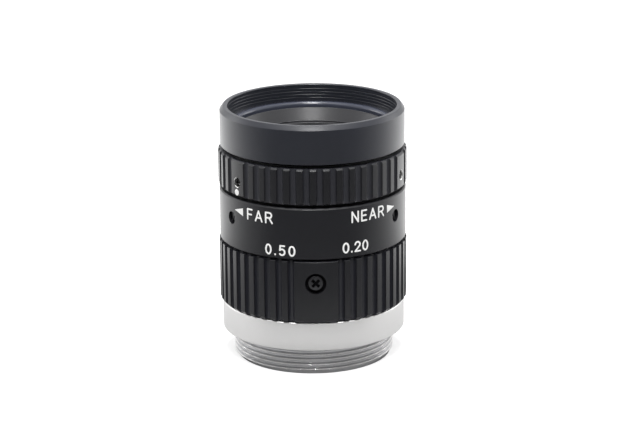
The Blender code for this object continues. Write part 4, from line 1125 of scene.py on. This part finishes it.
def turning_coordinates(shader):
    """Coordinates that follow lathe marks, radius and height, and an object's own."""
    place = coordinates(shader, "Object")
    axes = axes_of(place)
    flat = add_node(shader, "ShaderNodeCombineXYZ", X=axes["X"], Y=axes["Y"]).outputs[0]
    radius = vector_math("LENGTH", flat)["Value"]
    return add_node(shader, "ShaderNodeCombineXYZ", X=radius, Z=axes["Z"]).outputs[0], place


def noise(vector, scale, detail=2.0, roughness=0.5):
    """Noise value at coordinates."""
    return add_node(vector, "ShaderNodeTexNoise", Vector=vector, Scale=scale, Detail=detail,
                    Roughness=roughness).outputs["Fac"]


def span(value, low, high, start=0.0, end=1.0, step="LINEAR"):
    """Maps a value between two limits to a range, and holds it there outside them."""
    node = add_node(value, "ShaderNodeMapRange", Value=value, From_Min=start, From_Max=end,
                    To_Min=low, To_Max=high)
    node.interpolation_type = step
    return node.outputs[0]


def combine(operation, first, *others):
    """Arithmetic on a node's output and other outputs or numbers."""
    node = add_node(first, "ShaderNodeMath")
    node.operation = operation
    for socket, value in zip(node.inputs, (first, *others)):
        put(socket, value)
    return node.outputs[0]


def ramp(value, start, end, low, high):
    """Smooth step of a value between two limits."""
    return span(value, low, high, start, end, "SMOOTHSTEP")


def bump(shader, value, strength, distance):
    """Bump from a value, its height in metres."""
    node = add_node(value, "ShaderNodeBump", Height=value, Strength=strength, Distance=distance)
    put(shader.inputs["Normal"], node.outputs[0])


def mix(near, kind, sockets, values):
    """Mix node of a kind of data, its sockets given by number."""
    node = add_node(near, "ShaderNodeMix")
    node.data_type = kind
    for socket, value in zip(sockets, values):
        put(node.inputs[socket], value)
    return node.outputs


def tint(shader, value, dark, light):
    """Base colour between two tones."""
    tone = mix(shader, "RGBA", (0, 6, 7), (value, (*dark, 1.0), (*light, 1.0)))
    put(shader.inputs["Base Color"], tone[2])


def blend_rays(near, kind, others, chosen):
    """One value for one kind of ray and another for all the rest."""
    ray = add_node(near, "ShaderNodeLightPath").outputs[kind]
    return mix(near, "FLOAT", (0, 2, 3), (ray, others, chosen))[0]


def anodised_black(name, dark, specular, painted_light_radii=None, polish=None):
    """Satin black anodised aluminium: fine blasted grain over faint turning marks.

    Inside a given range of radii, such as a ring's grooves or the bezel's lip, it is lighter, as
    painted highlight; inside a polished range it is smoother.
    """
    made, shader = principled(name, dark, BLACK_ROUGHNESS, Specular_IOR_Level=specular)
    lathe, place = turning_coordinates(shader)
    radius = axes_of(lathe)["X"]
    grain = noise(place, *BLAST_GRAIN)
    marks = noise(lathe, *BLACK_MARKS)
    shade = span(noise(place, *BLACK_CLOUD), 0.0, CLOUD_SHARE)
    # Painted highlight: within these radii the black is lifted towards a lighter tone.
    if painted_light_radii:
        inside = ramp(radius, *painted_light_radii, 1.0 - CLOUD_SHARE, 0.0)
        shade = combine("ADD", shade, inside)
    tint(shader, shade, dark, tuple(PAINTED_LIGHT_GAIN * v for v in dark))
    rough = span(grain, *BLACK_ROUGHNESSES)
    if polish:
        rough = combine("MULTIPLY", rough, ramp(radius, *polish, POLISH, 1.0))
    put(shader.inputs["Roughness"], rough)
    texture = combine("MULTIPLY_ADD", marks, MARK_SHARE, grain)
    bump(shader, texture, *BLACK_RELIEF)
    return made


def satin_chrome():
    """Satin plating over turned brass, smoother and greyer in the roots of the thread, the grey
    being painted shade.
    """
    made, shader = principled("satin_plating", PLATING, PLATING_ROUGHNESS, 1.0)
    lathe, _ = turning_coordinates(shader)
    marks = noise(lathe, *PLATING_MARKS)
    axes = axes_of(lathe)
    flange = (FLANGE_Z - PLATING_BLEND, FLANGE_Z + PLATING_BLEND)
    crest = thread_crest()
    # Painted shade: a ramp from the greyer roots of the thread to its crests.
    turns = ramp(axes["X"], crest - ROOT_DEPTH, crest - CREST_DEPTH, 0.0, CREST_PLATING)
    shade = combine("MAXIMUM", turns, ramp(axes["Z"], *flange, 0.0, 1.0))
    tint(shader, shade, SHADED_ROOT_PLATING, PLATING)
    level = ramp(axes["Z"], *flange, THREAD_ROUGHNESS, COLLAR_ROUGHNESS)
    rough = combine("ADD", level, span(marks, *MARK_ROUGHNESS))
    put(shader.inputs["Roughness"], rough)
    bump(shader, marks, *PLATING_RELIEF)
    return made


def grained(name, colour, roughness, grain, metallic=0.0, turned_marks=False, cloud=None,
            tones=None, roughnesses=None, relief=None, **sockets):
    """Finish whose roughness and relief follow one noise, and its tone that or a cloud."""
    made, shader = principled(name, colour, roughness, metallic, **sockets)
    lathe, place = turning_coordinates(shader)
    marks = noise(lathe if turned_marks else place, *grain)
    if tones:
        tint(shader, noise(place, *cloud) if cloud else marks, *tones)
    if roughnesses:
        put(shader.inputs["Roughness"], span(marks, *roughnesses))
    if relief:
        bump(shader, marks, *relief)
    return made


def plain_finish(node, finish):
    """Gives a CAD node that stays its procedural finish."""
    item = frame["nodes"][node]
    item.data.materials.clear()
    item.data.materials.append(finish)


def make_camera():
    """Camera at the photograph's angle, its focal length reckoned for a frame 640 pixels wide.
    """
    lens = bpy.data.cameras.new("camera")
    lens.sensor_width = SENSOR_WIDTH
    lens.lens = FOCAL_PIXELS / IMAGE_WIDTH * SENSOR_WIDTH
    lens.clip_start = 10 * MM
    lens.clip_end = 100.0
    camera = add_object("camera", lens)
    tilt = math.radians(CAMERA_ELEVATION)
    back = Vector((0.0, -math.cos(tilt), math.sin(tilt)))
    camera.location = Vector(AIM) + back * CAMERA_DISTANCE
    look = (-back).to_track_quat("-Z", "Y").to_matrix().to_4x4()
    roll = Matrix.Rotation(math.radians(-CAMERA_ROLL), 4, "Z")
    camera.rotation_euler = (look @ roll).to_euler()
    bpy.context.scene.camera = camera


def area_light(name, place, size, power):
    """Soft box that points at the lens."""
    lamp = bpy.data.lights.new(name, "AREA")
    lamp.shape = "RECTANGLE"
    lamp.size, lamp.size_y = size
    lamp.energy = power
    item = add_object(name, lamp)
    item.location = place
    item.rotation_euler = (Vector(LAMP_AIM) - item.location).to_track_quat("-Z", "Y").to_euler()


def light_tent():
    """World: white behind and at the sides, and a dark room in front."""
    world = bpy.data.worlds.new("studio")
    bpy.context.scene.world = world
    world.use_nodes = True
    ground = world.node_tree.nodes["Background"]
    put(ground.inputs["Color"], (1.0, 1.0, 1.0, 1.0))
    way = coordinates(ground, "Generated")
    front = ramp(axes_of(way)["Y"], *FRONT_DARK, FRONT_DARK_LEVEL, TENT_LEVEL)
    seen = blend_rays(ground, "Is Camera Ray", front, 1.0)
    lit = blend_rays(ground, "Is Diffuse Ray", seen, WORLD_DIFFUSE)
    put(ground.inputs["Strength"], lit)


def studio_floor():
    """White floor that keeps the lens's shadow.

    In mirrored rays it glows behind the lens and is darker in front of it, which is painted
    light and painted shade seen only in reflections.
    """
    half = FLOOR_SIZE / 2
    corners = [(-half, -half), (half, -half), (half, half), (-half, half)]
    points = np.array([(*corner, -FLOOR_DROP) for corner in corners])
    floor = add_piece("floor", points, [(0, 1, 2, 3)])
    white, shader = principled("floor_white", FLOOR_BASE, FLOOR_ROUGHNESS,
                                     Specular_IOR_Level=0.0,
                                     Emission_Color=(1.0, 1.0, 1.0, 1.0))
    place = coordinates(shader, "Object")
    distance = vector_math("LENGTH", place)["Value"]
    way = axes_of(vector_math("NORMALIZE", place)["Vector"])["Y"]
    # Painted light: in mirrored rays only, the floor glows behind the lens and away from it.
    behind = ramp(way, *GLOW_FROM_BEHIND, 0.0, SIDE_GLOW)
    away = ramp(distance, *GLOW_DISTANCE, 0.0, 1.0)
    painted_glow_in_reflections = blend_rays(shader, "Is Glossy Ray", 0.0, combine("MULTIPLY", behind, away))
    glow = blend_rays(shader, "Is Camera Ray", painted_glow_in_reflections, FLOOR_GLOW)
    put(shader.inputs["Emission Strength"], glow)
    # Painted shade: in mirrored rays only, the floor is darker in front of the lens.
    front = ramp(way, *DARK_FRONT, 1.0, 0.0)
    near = ramp(distance, *NEAR_DARK, NEAR_DARK_SHARE, 0.0)
    far = ramp(distance, *FAR_DARK, 0.0, 1.0)
    dark = combine("MULTIPLY", front, combine("ADD", near, far))
    tint(shader, blend_rays(shader, "Is Glossy Ray", 0.0, dark), (FLOOR_WHITE,) * 3,
         (FLOOR_PAINTED_SHADE,) * 3)
    floor.data.materials.append(white)


def studio():
    """Light tent, floor and lamps."""
    light_tent()
    studio_floor()
    for name, lamp in LAMPS.items():
        area_light(name, *lamp)


def build():
    """Makes every visible piece of the lens."""
    crest = reach("focus_ring")[0]
    mouth = reach("front_bezel")[0] - MOUTH_WALL
    lip = mouth - LIP_FLAT
    black = anodised_black("satin_black_anodised", BAND_BLACK, BAND_SPECULAR)
    # Painted highlight deep in the rings' grooves and on the bezel's lip.
    grooved_black = anodised_black("grooved_black_anodised", RING_BLACK, RING_SPECULAR,
                                   painted_light_radii=(crest - GROOVE_PAINTED_LIGHT_DEPTH, crest - EDGE / 4))
    bezel = anodised_black("bezel_black_anodised", BEZEL_BLACK, BEZEL_SPECULAR,
                           painted_light_radii=(lip, lip + EDGE), polish=(mouth - EDGE, mouth - EDGE / 5))
    plating = satin_chrome()
    made = {name: grained(name, **values) for name, values in FINISHES.items()}
    inside = made["matt_black_inside"]
    oxide = made["black_oxide_steel"]
    white = made["white_fill_paint"]

    mount_base(plating)
    main_barrel(black)
    guide_screws(oxide)
    iris_ring(grooved_black, oxide, made["painted_recess_shade"])
    focus_ring(grooved_black, oxide, made["bare_aluminium"])
    front_bezel(bezel)
    lens_barrel(inside)
    rear_cell(inside)
    for node, notch in (("front_retaining_ring", 1), ("rear_retaining_ring", -1),
                        ("front_spacer", 0), ("rear_spacer", 0)):
        plain_ring(node, inside, notch)
    for node in ("front_lens", "second_lens", "third_lens", "rear_lens"):
        lens_element(node, made["coated_glass"], inside)
    for node in ("helicoid_sleeve", "iris_base_plate"):
        plain_finish(node, inside)
    for node in ("guide_pin", "iris_cam_ring"):
        plain_finish(node, made["turned_brass"])
    for index in range(IRIS_BLADES):
        plain_finish(f"iris_blade_{index + 1}", made["blackened_spring_steel"])

    band = reach("main_barrel")[0]
    for name, word in WORDS.items():
        paint_word(name, *word, band, white)
    for name, arrow in ARROWS.items():
        paint_arrow(name, *arrow, band, white)
    for name, number in NUMBERS.items():
        paint_word(name, *number, band, white)
    paint_dot("focus_dot", DOT_AZIMUTH, DOT_HEIGHT, DOT_WIDTH, crest, white, "focus_ring")


bpy.context.scene.view_settings.view_transform = "Standard"
build()
studio()
make_camera()
bpy.context.view_layer.update()
